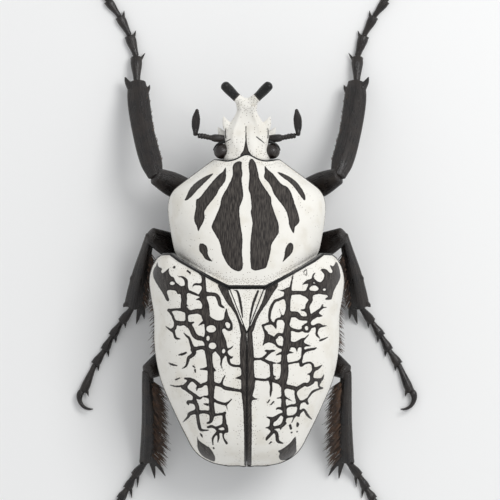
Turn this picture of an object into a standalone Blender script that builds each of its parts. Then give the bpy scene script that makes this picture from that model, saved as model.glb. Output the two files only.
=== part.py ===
"""Goliath beetle, a still life-size model.

The male stands on its six feet with its legs spread, as a museum sets it.
Everything is written in millimetres: X to the beetle's left, Y to its tail,
Z up, with Y = 0 at the middle of the pronotum's hind edge and Z = 0 on the
floor. Only the left side is drawn; each right piece is its mirror image.
"""
import math
import random

import bmesh
import bpy
from mathutils import Vector

MM = 0.001

# Air between two pieces that touch, and the looser fit of the body under the elytra
GAP = 0.3
BODY_FIT = 0.45

# Where the middle of the outstretched animal lies, from the pronotum's hind edge
MIDDLE_STATION = -7.5

# Shell: thickness, and the height of its lower edge, which rises towards the head
SHELL = 0.9
RIM_SLOPE = 0.06
RIM = [(0.0, 16.5), (20.0, 16.3), (34.0, 16.2), (42.0, 17.2)]
DOME_POWER = 2.4
BELLY_POWER = 1.45

# Pronotum: half widths and heights of the midline at stations along the body
PRONOTUM_FRONT = -29.9
HIND_ANGLE = -6.8
HIND_ANGLE_HALF = 15.85
HIND_EDGE_FLAT = 4.2
PRONOTUM_HALF = [(-29.9, 7.25), (-27.4, 10.6), (-25.1, 13.7), (-22.3, 17.1), (-19.2, 18.2),
                 (-13.8, 17.8), (-8.7, 16.8), (-6.8, 15.85)]
PRONOTUM_TOP = [(-29.9, 24.2), (-24.0, 28.4), (-18.0, 31.4), (-11.0, 33.3), (-5.0, 33.6), (0.0, 32.8)]

# Elytra and scutellum
SHOULDER_HALF = 20.6
ELYTRA_FRONT = [(4.5, 0.3), (15.9, -6.4), (17.8, -7.9), (19.6, -7.8), (20.6, -7.0)]
ELYTRA_HALF = [(-7.0, 20.6), (-4.5, 22.0), (-1.5, 22.6), (2.5, 22.2), (6.5, 21.6), (14.3, 21.4),
               (21.6, 20.0), (28.1, 17.3), (35.1, 13.85), (39.0, 11.1), (41.0, 7.9), (41.8, 4.2)]
ELYTRA_TOP = [(0.0, 32.4), (8.0, 33.5), (20.0, 32.6), (30.0, 30.2), (35.0, 28.0), (38.5, 25.2),
              (40.8, 21.8), (41.8, 19.6)]
ELYTRON_ROWS = [(0.3, -7.0), (1.6, -4.5), (3.6, -1.5), (6.4, 2.5), (9.8, 7.0), (13.4, 12.0),
                (17.6, 17.0), (22.2, 22.0), (27.0, 27.0), (31.0, 31.0), (35.0, 35.0), (38.0, 38.0),
                (40.0, 40.0), (41.2, 41.2), (41.8, 41.8)]
SCUTELLUM_HALF = 4.2
SCUTELLUM_LENGTH = 10.8
SUTURE = 0.15

# Underside: heights of its midline
PROTHORAX_REAR = -9.3
PROTHORAX_LOW = [(-29.9, 14.6), (-26.0, 9.6), (-21.0, 6.8), (-16.0, 6.2), (-12.0, 7.0), (-9.3, 8.4)]
THORAX_FRONT = -9.0
THORAX_REAR = 15.0
THORAX_LOW = [(-9.0, 7.4), (-6.0, 5.4), (0.0, 4.8), (15.0, 4.8)]
THORAX_FRONT_HALF = 14.5
ABDOMEN_REAR = 40.4
ABDOMEN_LOW = [(15.0, 4.8), (22.0, 4.8), (29.0, 5.5), (36.0, 7.4), (40.4, 9.8)]
PYGIDIUM_HALF = 6.2
TAIL_PULL = 3.8
TAIL_PULL_FROM = 28.0
FLANK_STEP = 0.9

# Head: half widths, top and bottom at stations, up to where the horn grows from it
HEAD_REAR = -30.2
HEAD_FRONT = -42.4
HEAD_HALF = [(-42.4, 2.5), (-41.4, 2.3), (-40.2, 2.75), (-39.2, 3.4), (-38.2, 4.0), (-37.0, 4.8),
             (-35.6, 5.2), (-34.0, 5.05), (-32.0, 4.95), (-30.2, 5.5)]
HEAD_TOP = [(-42.4, 24.6), (-40.5, 23.7), (-38.0, 23.2), (-34.0, 23.7), (-30.2, 24.2)]
HEAD_LOW = [(-42.4, 22.2), (-40.5, 20.8), (-38.0, 18.6), (-34.0, 16.6), (-30.2, 15.4)]
HEAD_TEETH = [((3.5, -36.4, 21.0), (5.5, -39.9, 21.6), 2.5, 1.5, 0.0),
              ((4.2, -34.4, 19.2), (6.75, -37.4, 19.4), 2.6, 1.3, 1.0)]
EYE_CENTRE = (5.85, -31.95, 20.2)
EYE_RADII = (1.9, 1.75, 2.1)

# Horn: a short fork of two round-ended arms
HORN_ARM = [(0.9, -43.3, 23.7), (2.2, -44.4, 24.3), (3.7, -45.8, 25.2), (5.0, -47.0, 26.1)]
HORN_ARM_HALF = 1.2
HORN_STEM = [(0.0, -42.7, 23.4), (0.0, -43.4, 23.4), (0.0, -44.1, 23.8)]
HORN_STEM_HALF = [(2.5, 1.2), (2.6, 1.15), (1.4, 0.9)]

# Antenna: its stem, then the club of three leaves
STEM = [(4.6, -34.7, 19.8), (6.2, -34.8, 20.0), (8.6, -35.0, 20.3), (10.0, -35.3, 20.4), (11.3, -35.3, 20.4)]
STEM_HALF = [0.45, 0.7, 0.8, 0.5, 0.55]
CLUB_ROOT = (12.0, -35.9, 20.4)
CLUB_TIP = (11.6, -41.7, 20.8)
CLUB_HALF = 0.95
LEAF_THICK = 0.6
LEAF_STEP = 0.9
KNOT_PATH = [(0.0, 0.35, 0.0), (0.0, -0.1, 0.0), (0.0, -0.9, 0.0)]
KNOT_HALF = [(0.5, 0.6), (0.6, 1.15), (0.55, 1.1)]

# Palp: the points of its bend and its half thickness at each
PALP = [(2.4, -35.6, 17.4), (2.9, -36.8, 16.6), (3.3, -38.2, 16.5), (3.5, -39.4, 16.9)]
PALP_HALF = [0.5, 0.55, 0.45, 0.48]

# Legs of the left side: the hip, knee and ankle of each, then its toe joints on the floor
FORE_LEG = {
    "coxa": [(3.0, -20.8, 9.0), (5.8, -20.4, 7.6), (8.6, -19.8, 6.6)],
    "coxa_half": [2.2, 2.3, 1.9],
    "knee": (21.4, -26.0, 14.2),
    "ankle": (25.9, -48.2, 3.4),
    "toes": [(26.1, -54.4, 1.2), (27.7, -59.4, 0.75), (30.1, -63.9, 0.72), (32.9, -67.6, 0.72),
             (35.5, -73.5, 1.2)],
    "femur_half": [(0.0, 1.8, 1.6), (0.3, 2.6, 1.7), (0.7, 2.8, 1.9), (1.0, 2.3, 1.8)],
    "tibia_half": [(0.0, 1.7, 1.2), (0.15, 2.4, 1.5), (0.5, 2.45, 1.5), (0.85, 2.45, 1.5), (1.0, 1.9, 1.3)],
    "bow": 0.8,
    "teeth": [(0.95, 1.0, 2.7, 0.78, 0.95), (0.87, -1.0, 1.9, 0.6, 0.7), (0.74, -1.0, 1.0, 0.72, 0.6),
              (0.2, -1.0, 1.1, 0.75, 0.6)],
    "fringe": None,
    "toe_spines": (1.7, 1.2, 1.2, 1.1, 1.0),
}
MID_LEG = {
    "coxa": [(3.0, -4.4, 7.4), (5.8, -4.6, 6.6), (8.8, -5.0, 6.0)],
    "coxa_half": [2.1, 2.2, 1.8],
    "knee": (22.6, -12.1, 14.4),
    "ankle": (26.7, 4.6, 3.3),
    "toes": [(29.6, 8.4, 1.2), (31.8, 11.7, 0.75), (33.6, 15.0, 0.72), (35.9, 18.4, 0.72),
             (38.7, 25.1, 1.2)],
    "femur_half": [(0.0, 1.9, 1.5), (0.3, 2.7, 1.7), (0.7, 2.8, 1.8), (1.0, 2.1, 1.7)],
    "tibia_half": [(0.0, 1.1, 1.1), (0.2, 1.3, 1.2), (0.6, 1.9, 1.4), (0.9, 2.1, 1.4), (1.0, 2.1, 1.3)],
    "bow": 0.2,
    "teeth": [(0.97, 1.0, 1.0, 0.6, 0.8), (0.58, 1.0, 1.3, 0.7, 0.7), (0.98, -1.0, 4.7, 0.97, 0.75),
              (0.93, -1.0, 4.2, 0.72, 0.8)],
    "fringe": (6, 0.3, 0.84, 2.1, 2.9, 0.55),
    "toe_spines": (1.2, 1.3, 1.3, 1.2, 1.2),
}
HIND_LEG = {
    "coxa": [(2.6, 12.0, 7.0), (6.5, 12.2, 6.2), (10.6, 12.5, 6.0)],
    "coxa_half": [2.0, 2.3, 2.0],
    "knee": (23.3, 19.9, 14.6),
    "ankle": (23.6, 41.0, 3.3),
    "toes": [(26.6, 44.6, 1.2), (28.2, 47.6, 0.75), (29.8, 50.0, 0.72), (31.5, 52.6, 0.72),
             (33.7, 58.4, 1.2)],
    "femur_half": [(0.0, 1.9, 1.6), (0.3, 2.7, 1.8), (0.7, 2.8, 1.9), (1.0, 2.0, 1.7)],
    "tibia_half": [(0.0, 1.2, 1.1), (0.2, 1.4, 1.3), (0.6, 1.5, 1.4), (0.9, 1.6, 1.4), (1.0, 1.6, 1.3)],
    "bow": -0.3,
    "teeth": [(0.97, 1.0, 1.2, 0.8, 0.7), (0.98, -1.0, 4.8, 0.85, 0.75), (0.94, -1.0, 6.0, 0.62, 0.75)],
    "fringe": (9, 0.22, 0.88, 3.4, 5.2, 0.55),
    "toe_spines": (2.6, 2.0, 1.5, 1.3, 1.0),
}
TOE_HALF_ROOT = 0.65
TOE_HALF_END = 0.95
LAST_TOE_HALF = 1.05
CLAW_RADIUS = 2.7
CLAW_SWEEP = 1.95
CLAW_HALF = 0.8
CLAW_SPLAY = 1.0

# Locks of hair: width, thickness, and how far they sag on the way to their tips
LOCK_WIDTH = 1.7
FLANK_LOCK_WIDTH = 2.2
LOCK_THICK = 0.65
LOCK_SAG = 0.5
ROOT_DEPTH = 0.6
FLANK_LOCKS = 9
FLANK_LOCK_REACH = 4.2
FLANK_LOCK_DROP = 2.2

# Heights at which the plates and shells of the trunk are hung
PRONOTUM_HANG = 16.5
TRUNK_HANG = 10.0
TAIL_HANG = 12.0
BACK_HANG = 32.0
NECK_HANG = 20.0

# Finishes: base colour, roughness and metallic value
FINISHES = {
    "chalk_white": ((0.86, 0.84, 0.78), 0.75, 0.0),
    "glossy_black": ((0.012, 0.012, 0.011), 0.25, 0.0),
    "eye_brown": ((0.02, 0.012, 0.008), 0.12, 0.0),
    "green_black": ((0.012, 0.022, 0.014), 0.28, 0.0),
    "dark_hair": ((0.05, 0.025, 0.01), 0.6, 0.0),
}


def clear_scene():
    """Take every object out of the open scene."""
    for item in list(bpy.data.objects):
        bpy.data.objects.remove(item, do_unlink=True)


def finish(name):
    """Material of one of the named finishes, made once."""
    material = bpy.data.materials.get(name)
    if material is None:
        colour, roughness, metallic = FINISHES[name]
        material = bpy.data.materials.new(name)
        material.use_nodes = True
        shader = material.node_tree.nodes["Principled BSDF"]
        shader.inputs["Base Color"].default_value = (*colour, 1.0)
        shader.inputs["Roughness"].default_value = roughness
        shader.inputs["Metallic"].default_value = metallic
    return material


def along(knots, at):
    """Value at a station of the smooth curve through (station, value) knots."""
    if at <= knots[0][0]:
        return knots[0][1]
    if at >= knots[-1][0]:
        return knots[-1][1]
    index = max(i for i in range(len(knots) - 1) if knots[i][0] <= at)
    (x0, y0), (x1, y1) = knots[index], knots[index + 1]
    slope = (y1 - y0) / (x1 - x0)
    before = slope
    after = slope
    if index > 0:
        before = (y1 - knots[index - 1][1]) / (x1 - knots[index - 1][0])
    if index + 2 < len(knots):
        after = (knots[index + 2][1] - y0) / (knots[index + 2][0] - x0)
    span = x1 - x0
    t = (at - x0) / span
    bend0 = before * span * t * (1.0 - t) ** 2
    bend1 = after * span * t * t * (t - 1.0)
    return y0 + (y1 - y0) * t * t * (3.0 - 2.0 * t) + bend0 + bend1


def straight(knots, at):
    """Value at a station of the straight runs through (station, value) knots."""
    for (x0, y0), (x1, y1) in zip(knots, knots[1:]):
        if at <= x1:
            return y0 + (y1 - y0) * max(0.0, at - x0) / (x1 - x0)
    return knots[-1][1]


def rim(station):
    """Height of the shell's lower edge."""
    if station < 0.0:
        return RIM[0][1] - RIM_SLOPE * station
    return along(RIM, station)


def dome(x, half, low, high, power):
    """Height of an arched section at a distance x from the midline."""
    share = min(1.0, abs(x) / half)
    return low + (high - low) * (1.0 - share ** power) ** (1.0 / power)


def spread(columns, power):
    """Shares of the half width, from one side to the other, evenly spaced round an arch."""
    shares = []
    for index in range(columns):
        angle = math.pi * (index / (columns - 1) - 0.5)
        side = math.copysign(1.0, angle)
        shares.append(side * abs(math.sin(angle)) ** (2.0 / power))
    return shares


def new_object(name, mesh, finish_name):
    """Object from a bmesh in millimetres, closed, triangulated and facing out."""
    bmesh.ops.remove_doubles(mesh, verts=mesh.verts, dist=0.00001)
    bmesh.ops.recalc_face_normals(mesh, faces=mesh.faces)
    bmesh.ops.triangulate(mesh, faces=mesh.faces)
    bmesh.ops.scale(mesh, vec=(MM, MM, MM), verts=mesh.verts)
    data = bpy.data.meshes.new(name)
    mesh.to_mesh(data)
    mesh.free()
    data.shade_smooth()
    data.set_sharp_from_angle(angle=math.radians(40.0))
    data.materials.append(finish(finish_name))
    item = bpy.data.objects.new(name, data)
    bpy.context.scene.collection.objects.link(item)
    return item


def shell(name, upper, lower, finish_name):
    """Closed solid between two grids of points with the same rows and columns."""
    mesh = bmesh.new()
    top = [[mesh.verts.new(point) for point in row] for row in upper]
    low = [[mesh.verts.new(point) for point in row] for row in lower]
    rows = len(upper)
    columns = len(upper[0])
    for r in range(rows - 1):
        for c in range(columns - 1):
            mesh.faces.new((top[r][c], top[r + 1][c], top[r + 1][c + 1], top[r][c + 1]))
            mesh.faces.new((low[r][c], low[r][c + 1], low[r + 1][c + 1], low[r + 1][c]))
    border = [(0, c) for c in range(columns)]
    border += [(r, columns - 1) for r in range(1, rows)]
    border += [(rows - 1, c) for c in range(columns - 2, -1, -1)]
    border += [(r, 0) for r in range(rows - 2, 0, -1)]
    for (r0, c0), (r1, c1) in zip(border, border[1:] + border[:1]):
        mesh.faces.new((top[r0][c0], top[r1][c1], low[r1][c1], low[r0][c0]))
    return new_object(name, mesh, finish_name)


def loft(name, rings, finish_name, poles):
    """Closed solid through rings of equal count, each end closed on its pole."""
    mesh = bmesh.new()
    hoops = [[mesh.verts.new(point) for point in ring] for ring in rings]
    count = len(rings[0])
    for hoop, following in zip(hoops, hoops[1:]):
        for k in range(count):
            n = (k + 1) % count
            mesh.faces.new((hoop[k], hoop[n], following[n], following[k]))
    for hoop, pole in ((hoops[0], poles[0]), (hoops[-1], poles[1])):
        middle = mesh.verts.new(pole)
        for k in range(count):
            mesh.faces.new((hoop[k], hoop[(k + 1) % count], middle))
    return new_object(name, mesh, finish_name)


def tube(name, path, halves, finish_name, sides=8, blunt=(0.0, 0.0), up=(0.0, 0.0, 1.0), grow=0.0):
    """Solid along a path; halves are its (side, upright) half sizes at each point."""
    points = [Vector(point) for point in path]
    rings = []
    runs = []
    for index, point in enumerate(points):
        run = (points[min(index + 1, len(points) - 1)] - points[max(index - 1, 0)]).normalized()
        side = run.cross(Vector(up)).normalized()
        over = side.cross(run)
        runs.append(run)
        centre = point.copy()
        if index == 0:
            centre -= run * grow
        if index == len(points) - 1:
            centre += run * grow
        half_side, half_up = halves[index]
        ring = []
        for k in range(sides):
            angle = 2.0 * math.pi * (k + 0.5 * (sides % 4 == 0)) / sides
            reach = side * math.cos(angle) * (half_side + grow) + over * math.sin(angle) * (half_up + grow)
            ring.append(centre + reach)
        rings.append(ring)
    first = points[0] - runs[0] * (blunt[0] + grow)
    last = points[-1] + runs[-1] * (blunt[1] + grow)
    return loft(name, rings, finish_name, (first, last))


def spike(root, tip, half, finish_name, bend=(0.0, 0.0, 0.0), sides=5):
    """Pointed spine from a root sunk in its bearer to its tip, bowed by bend halfway."""
    root = Vector(root)
    tip = Vector(tip)
    middle = root.lerp(tip, 0.55) + Vector(bend)
    run = (tip - root).normalized()
    side = run.cross(Vector((0.0, 0.0, 1.0)))
    if side.length < 0.2:
        side = run.cross(Vector((0.0, 1.0, 0.0)))
    side.normalize()
    over = side.cross(run)
    rings = []
    for centre, size in ((root, half), (middle, half * 0.62)):
        ring = []
        for k in range(sides):
            angle = 2.0 * math.pi * k / sides
            ring.append(centre + side * math.cos(angle) * size + over * math.sin(angle) * size)
        rings.append(ring)
    return loft("spike", rings, finish_name, (root - run * 0.05, tip))


def blade(root, tip, width, thick, finish_name, flat=(0.0, 0.0, 1.0), bend=(0.0, 0.0, 0.0), blunt=0.0):
    """Flat tapered piece, such as a tooth or a lock of hair; flat is its thin direction."""
    root = Vector(root)
    tip = Vector(tip)
    run = (tip - root).normalized()
    across = run.cross(Vector(flat)).normalized()
    thin = across.cross(run)
    rings = []
    for share, size in ((0.0, 1.0), (0.4, 0.95), (0.75, 0.62 + 0.3 * blunt)):
        centre = root.lerp(tip, share) + Vector(bend) * math.sin(math.pi * share)
        wide = across * width * 0.5 * size
        deep = thin * thick * 0.5 * (0.4 + 0.6 * size)
        rings.append([centre + wide, centre + deep, centre - wide, centre - deep])
    return loft("blade", rings, finish_name, (root - run * 0.05, tip))


def apply_boolean(item, others, operation):
    """Join item with others, or cut them from it, and keep its largest closed surface."""
    group = bpy.data.collections.new("operands")
    bpy.context.scene.collection.children.link(group)
    for other in others:
        group.objects.link(other)
    modifier = item.modifiers.new("join", "BOOLEAN")
    modifier.operation = operation
    modifier.operand_type = "COLLECTION"
    modifier.collection = group
    modifier.solver = "EXACT"
    bpy.context.view_layer.update()
    graph = bpy.context.evaluated_depsgraph_get()
    joined = bpy.data.meshes.new_from_object(item.evaluated_get(graph))
    item.modifiers.remove(modifier)
    for other in others:
        bpy.data.objects.remove(other, do_unlink=True)
    bpy.data.collections.remove(group)
    mesh = bmesh.new()
    mesh.from_mesh(joined)
    keep_largest(mesh)
    bmesh.ops.remove_doubles(mesh, verts=mesh.verts, dist=0.000002)
    bmesh.ops.dissolve_degenerate(mesh, edges=mesh.edges, dist=0.000002)
    bmesh.ops.triangulate(mesh, faces=mesh.faces)
    mesh.to_mesh(item.data)
    mesh.free()
    bpy.data.meshes.remove(joined)
    item.data.shade_smooth()
    item.data.set_sharp_from_angle(angle=math.radians(40.0))
    return item


def keep_largest(mesh):
    """Delete every closed surface of the mesh but the one that holds the most space."""
    left = set(mesh.faces)
    bodies = []
    while left:
        body = set()
        queue = [left.pop()]
        while queue:
            face = queue.pop()
            body.add(face)
            for edge in face.edges:
                for other in edge.link_faces:
                    if other in left:
                        left.remove(other)
                        queue.append(other)
        space = 0.0
        for face in body:
            first = face.verts[0].co
            for second, third in zip(face.verts[1:], face.verts[2:]):
                space += first.dot(second.co.cross(third.co))
        bodies.append((abs(space), body))
    bodies.sort(key=lambda entry: entry[0])
    scraps = [face for _, body in bodies[:-1] for face in body]
    bmesh.ops.delete(mesh, geom=scraps, context="FACES")


def fuse(item, pieces):
    """One closed solid of an item and the small pieces that are sunk in it."""
    return apply_boolean(item, pieces, "UNION")


def trim(item, cutters):
    """Cut an item clear of its neighbours, given as solids grown by the gap."""
    return apply_boolean(item, cutters, "DIFFERENCE")


def floor_flats(item):
    """Press whatever reaches below the floor flat onto it."""
    for vertex in item.data.vertices:
        vertex.co.z = max(vertex.co.z, 0.0)
    return item


def mirrored(item, name):
    """Right-hand copy of a left-hand piece."""
    mesh = bmesh.new()
    mesh.from_mesh(item.data)
    bmesh.ops.scale(mesh, vec=(-1.0, 1.0, 1.0), verts=mesh.verts)
    bmesh.ops.reverse_faces(mesh, faces=mesh.faces)
    data = item.data.copy()
    data.name = name
    mesh.to_mesh(data)
    mesh.free()
    copy = bpy.data.objects.new(name, data)
    bpy.context.scene.collection.objects.link(copy)
    return copy


def hang(item, origin, parent):
    """Move an item's origin to its joint and set it on its parent, where it is."""
    place = Vector(origin) * MM
    for vertex in item.data.vertices:
        vertex.co -= place
    item.location = place
    item.parent = parent


def pair(item, origin, parent):
    """Set a left-hand piece and its right-hand mirror image on the parent."""
    stem = item.name
    right = mirrored(item, stem.replace("_left", "_right"))
    hang(item, origin, parent)
    hang(right, (-origin[0], origin[1], origin[2]), parent)


# Pronotum and the underside of the prothorax

def pronotum_grid(rows, columns, grow=0.0):
    """Points of the pronotum's arch, and those straight below them on its lower edge."""
    upper = []
    lower = []
    for r in range(rows):
        v = r / (rows - 1)
        at_side = PRONOTUM_FRONT + (HIND_ANGLE - PRONOTUM_FRONT) * v
        at_middle = PRONOTUM_FRONT * (1.0 - v)
        half = along(PRONOTUM_HALF, at_side) + grow
        upper_row = []
        lower_row = []
        for share in spread(columns, DOME_POWER):
            x = half * share
            slant = max(0.0, abs(share) * HIND_ANGLE_HALF - HIND_EDGE_FLAT)
            slant /= HIND_ANGLE_HALF - HIND_EDGE_FLAT
            y = at_middle + (at_side - at_middle) * slant
            low = rim(y)
            high = along(PRONOTUM_TOP, at_middle) + grow
            upper_row.append((x, y, dome(x, half, low, high, DOME_POWER)))
            lower_row.append((x, y, low))
        upper.append(upper_row)
        lower.append(lower_row)
    return upper, lower


def prothorax_underside(grow=0.0):
    """Breast of the prothorax, from its flat top under the pronotum to the belly line."""
    rows = 7
    columns = 15
    upper = []
    lower = []
    for r in range(rows):
        v = r / (rows - 1)
        y = PRONOTUM_FRONT - grow + (PROTHORAX_REAR - PRONOTUM_FRONT + 2.0 * grow) * v
        station = PRONOTUM_FRONT + (PROTHORAX_REAR - PRONOTUM_FRONT) * v
        half = along(PRONOTUM_HALF, station) - 0.5 + grow
        top = rim(station) - GAP + grow
        middle = along(PROTHORAX_LOW, station) - grow
        upper_row = []
        lower_row = []
        for share in spread(columns, DOME_POWER):
            x = half * share
            upper_row.append((x, y, top))
            lower_row.append((x, y, dome(x, half, top - 2.0 * grow, middle, BELLY_POWER)))
        upper.append(upper_row)
        lower.append(lower_row)
    return shell("prothorax_underside", upper, lower, "green_black")


# Elytra, scutellum and the body under them

def front_share(x):
    """How far forward the elytra's front edge is at a distance x from the midline, 1 at the side."""
    first = ELYTRA_FRONT[0][1]
    last = ELYTRA_FRONT[-1][1]
    return (straight(ELYTRA_FRONT, x) - first) / (last - first)


def scutellum_half(station):
    """Half width of the scutellum's triangle."""
    return max(0.0, SCUTELLUM_HALF * (1.0 - station / SCUTELLUM_LENGTH))


def elytron_grid(inset, columns):
    """Points of one elytron's surface, or of a surface set in under it."""
    grid = []
    for at_suture, at_side in ELYTRON_ROWS:
        half = along(ELYTRA_HALF, at_side)
        inner = max(SUTURE, scutellum_half(at_suture) + GAP)
        start = math.asin(min(1.0, (inner / half) ** (DOME_POWER / 2.0)))
        row = []
        for c in range(columns):
            angle = start + (math.pi / 2.0 - start) * c / (columns - 1)
            share = math.sin(angle) ** (2.0 / DOME_POWER)
            x = max(inner, (half - inset) * share)
            reach = max(0.0, (half * share - inner) / (half - inner))
            front_x = ELYTRA_FRONT[0][0] + (SHOULDER_HALF - ELYTRA_FRONT[0][0]) * reach
            y = at_suture + (at_side - at_suture) * front_share(front_x)
            low = rim(at_side)
            high = along(ELYTRA_TOP, at_suture) - inset
            row.append((x, y, dome(x, half - inset, low, high, DOME_POWER)))
        grid.append(row)
    return grid


def scutellum():
    """Small triangular shield between the bases of the elytra."""
    rows = 5
    columns = 5
    upper = []
    lower = []
    for r in range(rows):
        y = GAP + (SCUTELLUM_LENGTH - 0.6 - GAP) * r / (rows - 1)
        half = scutellum_half(y)
        upper_row = []
        lower_row = []
        for c in range(columns):
            x = half * (2.0 * c / (columns - 1) - 1.0)
            elytra = along(ELYTRA_HALF, y)
            high = along(ELYTRA_TOP, y)
            z = dome(x, elytra, rim(y), high, DOME_POWER)
            upper_row.append((x, y, z))
            lower_row.append((x, y, z - SHELL))
        upper.append(upper_row)
        lower.append(lower_row)
    return shell("scutellum", upper, lower, "chalk_white")


def thorax(grow=0.0):
    """Middle and hind thorax: under the elytra above, a rounded breast below."""
    stations = [(THORAX_FRONT, THORAX_FRONT, "shelf"), (0.6, -6.4, "shelf"), (0.6, -6.4, "arch"),
                (2.5, -3.4, "arch"), (5.5, 1.0, "arch"), (9.5, 6.0, "arch"), (12.5, 11.0, "arch"),
                (THORAX_REAR, THORAX_REAR, "arch")]
    shares = spread(15, DOME_POWER)
    upper = []
    lower = []
    for index, (at_middle, at_side, kind) in enumerate(stations):
        forward = index == 0
        elytra = along(ELYTRA_HALF, at_side)
        half = (THORAX_FRONT_HALF if forward else elytra - FLANK_STEP) + grow
        inner = THORAX_FRONT_HALF - 0.4 if forward else elytra - SHELL - BODY_FIT
        high = along(ELYTRA_TOP, at_middle) - SHELL - BODY_FIT
        upper_row = []
        lower_row = []
        for share in [-1.0] + shares + [1.0]:
            outermost = len(upper_row) in (0, len(shares) + 1)
            x = share * (half if outermost else inner)
            y = at_middle + (at_side - at_middle) * front_share(abs(x) * SHOULDER_HALF / elytra)
            if forward:
                y -= grow
            if index == len(stations) - 1:
                y += grow
            middle = along(THORAX_LOW, y) - grow
            edge = rim(y) - GAP
            top = edge + grow
            if kind == "arch" and not outermost:
                top = dome(x, inner, edge, high, DOME_POWER)
            upper_row.append((x, y, top))
            lower_row.append((x, y, dome(x, half, edge - grow, middle, BELLY_POWER)))
        upper.append(upper_row)
        lower.append(lower_row)
    return shell("thorax", upper, lower, "green_black")


def flank_locks(rng):
    """Locks of hair that stand out of the thorax's sides under the elytra's edge."""
    locks = []
    for index in range(FLANK_LOCKS):
        station = 0.8 + (THORAX_REAR - 3.4) * index / (FLANK_LOCKS - 1)
        half = along(ELYTRA_HALF, station) - FLANK_STEP
        z = rim(station) - GAP - FLANK_LOCK_DROP
        x = half * 0.965
        reach = FLANK_LOCK_REACH * (0.85 + 0.3 * rng.random())
        for side in (1.0, -1.0):
            root = (side * (x - 1.0), station, z + 0.1)
            tip = (side * (x + reach * 0.55), station + reach * 0.62, z - 0.9)
            locks.append(blade(root, tip, FLANK_LOCK_WIDTH, LOCK_THICK, "dark_hair", bend=(0.0, 0.0, 0.25)))
    return locks


def tail_pull(station):
    """How far the belly's midline ends before the back, which makes the tail slant."""
    share = max(0.0, station - TAIL_PULL_FROM) / (ABDOMEN_REAR - TAIL_PULL_FROM)
    return TAIL_PULL * share * share


def abdomen(grow=0.0):
    """Abdomen, from the hind thorax to its slanting rear face."""
    stations = [THORAX_REAR + GAP, 19.0, 23.0, 27.0, 31.0, 34.5, 37.5, 39.3, ABDOMEN_REAR]
    shares = spread(15, DOME_POWER)
    upper = []
    lower = []
    for index, station in enumerate(stations):
        elytra = along(ELYTRA_HALF, station)
        half = elytra - FLANK_STEP + grow
        inner = elytra - SHELL - BODY_FIT
        edge = rim(station) - GAP
        high = along(ELYTRA_TOP, station) - SHELL - BODY_FIT
        upper_row = []
        lower_row = []
        for share in [-1.0] + shares + [1.0]:
            outermost = len(upper_row) in (0, len(shares) + 1)
            x = share * (half if outermost else inner)
            y = station
            if index == 0:
                y -= grow
            if index == len(stations) - 1:
                y += grow
            top = edge + grow if outermost else dome(x, inner, edge, high, DOME_POWER)
            middle = along(ABDOMEN_LOW, station) - grow
            upper_row.append((x, y, top))
            pulled = y - tail_pull(station) * (1.0 - share * share)
            lower_row.append((x, pulled, dome(x, half, edge - grow, middle, BELLY_POWER)))
        upper.append(upper_row)
        lower.append(lower_row)
    return shell("abdomen", upper, lower, "green_black")


def pygidium():
    """Last plate of the back, bulging from the slanting rear face under the elytra."""
    rows = 6
    columns = 11
    outward = Vector((0.0, 0.86, -0.51))
    half = PYGIDIUM_HALF
    inner = along(ELYTRA_HALF, ABDOMEN_REAR) - SHELL - BODY_FIT
    edge = rim(ABDOMEN_REAR) - GAP
    high = along(ELYTRA_TOP, ABDOMEN_REAR) - SHELL - BODY_FIT
    middle = along(ABDOMEN_LOW, ABDOMEN_REAR)
    outer_grid = []
    inner_grid = []
    for r in range(rows):
        outer_row = []
        inner_row = []
        for c in range(columns):
            share = 2.0 * c / (columns - 1) - 1.0
            x = half * share
            top = dome(x, inner + 0.4, edge, high, DOME_POWER)
            low = dome(x, half + 2.0, edge, middle, BELLY_POWER)
            start = edge - 0.4
            z = start + (min(low + 0.1, start - 0.5) - start) * r / (rows - 1)
            fall = (top - z) / max(0.2, top - low)
            y = ABDOMEN_REAR - tail_pull(ABDOMEN_REAR) * (1.0 - share * share) * min(1.0, fall)
            wall = Vector((x, y, z))
            bulge = 0.5 + 1.2 * (1.0 - share * share) * math.sin(math.pi * r / (rows - 1))
            inner_row.append(wall + outward * 0.45)
            outer_row.append(wall + outward * (0.45 + bulge))
        outer_grid.append(outer_row)
        inner_grid.append(inner_row)
    return shell("pygidium", outer_grid, inner_grid, "green_black")


# Head, eyes, horn, antennae and palps

def head(grow=0.0):
    """Head with the flat teeth of its clypeus, narrowing to where the horn grows."""
    stations = [-30.2, -31.6, -33.4, -35.2, -36.6, -37.8, -38.8, -39.8, -40.9, -42.4]
    rings = []
    for index, station in enumerate(stations):
        y = station
        if index == 0:
            y += grow
        if index == len(stations) - 1:
            y -= grow
        half = along(HEAD_HALF, station) + grow
        high = along(HEAD_TOP, station) + grow
        low = along(HEAD_LOW, station) - grow
        ring = []
        for k in range(14):
            angle = 2.0 * math.pi * k / 14
            x = half * math.copysign(abs(math.cos(angle)) ** 0.8, math.cos(angle))
            rise = math.copysign(abs(math.sin(angle)) ** 0.85, math.sin(angle))
            z = 0.5 * (high + low) + 0.5 * (high - low) * rise
            ring.append((x, y, z))
        rings.append(ring)
    middle_rear = 0.5 * (along(HEAD_TOP, HEAD_REAR) + along(HEAD_LOW, HEAD_REAR))
    middle_front = 0.5 * (along(HEAD_TOP, HEAD_FRONT) + along(HEAD_LOW, HEAD_FRONT))
    poles = ((0.0, HEAD_REAR + grow, middle_rear), (0.0, HEAD_FRONT - grow, middle_front))
    skull = loft("head", rings, "chalk_white", poles)
    teeth = []
    for root, tip, width, thick, blunt in HEAD_TEETH:
        wide = width + 2.0 * grow
        high = thick + 2.0 * grow
        for side in (1.0, -1.0):
            start = (side * root[0], root[1], root[2])
            end = (side * tip[0], tip[1] - grow, tip[2])
            teeth.append(blade(start, end, wide, high, "chalk_white", blunt=blunt))
    return fuse(skull, teeth)


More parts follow.
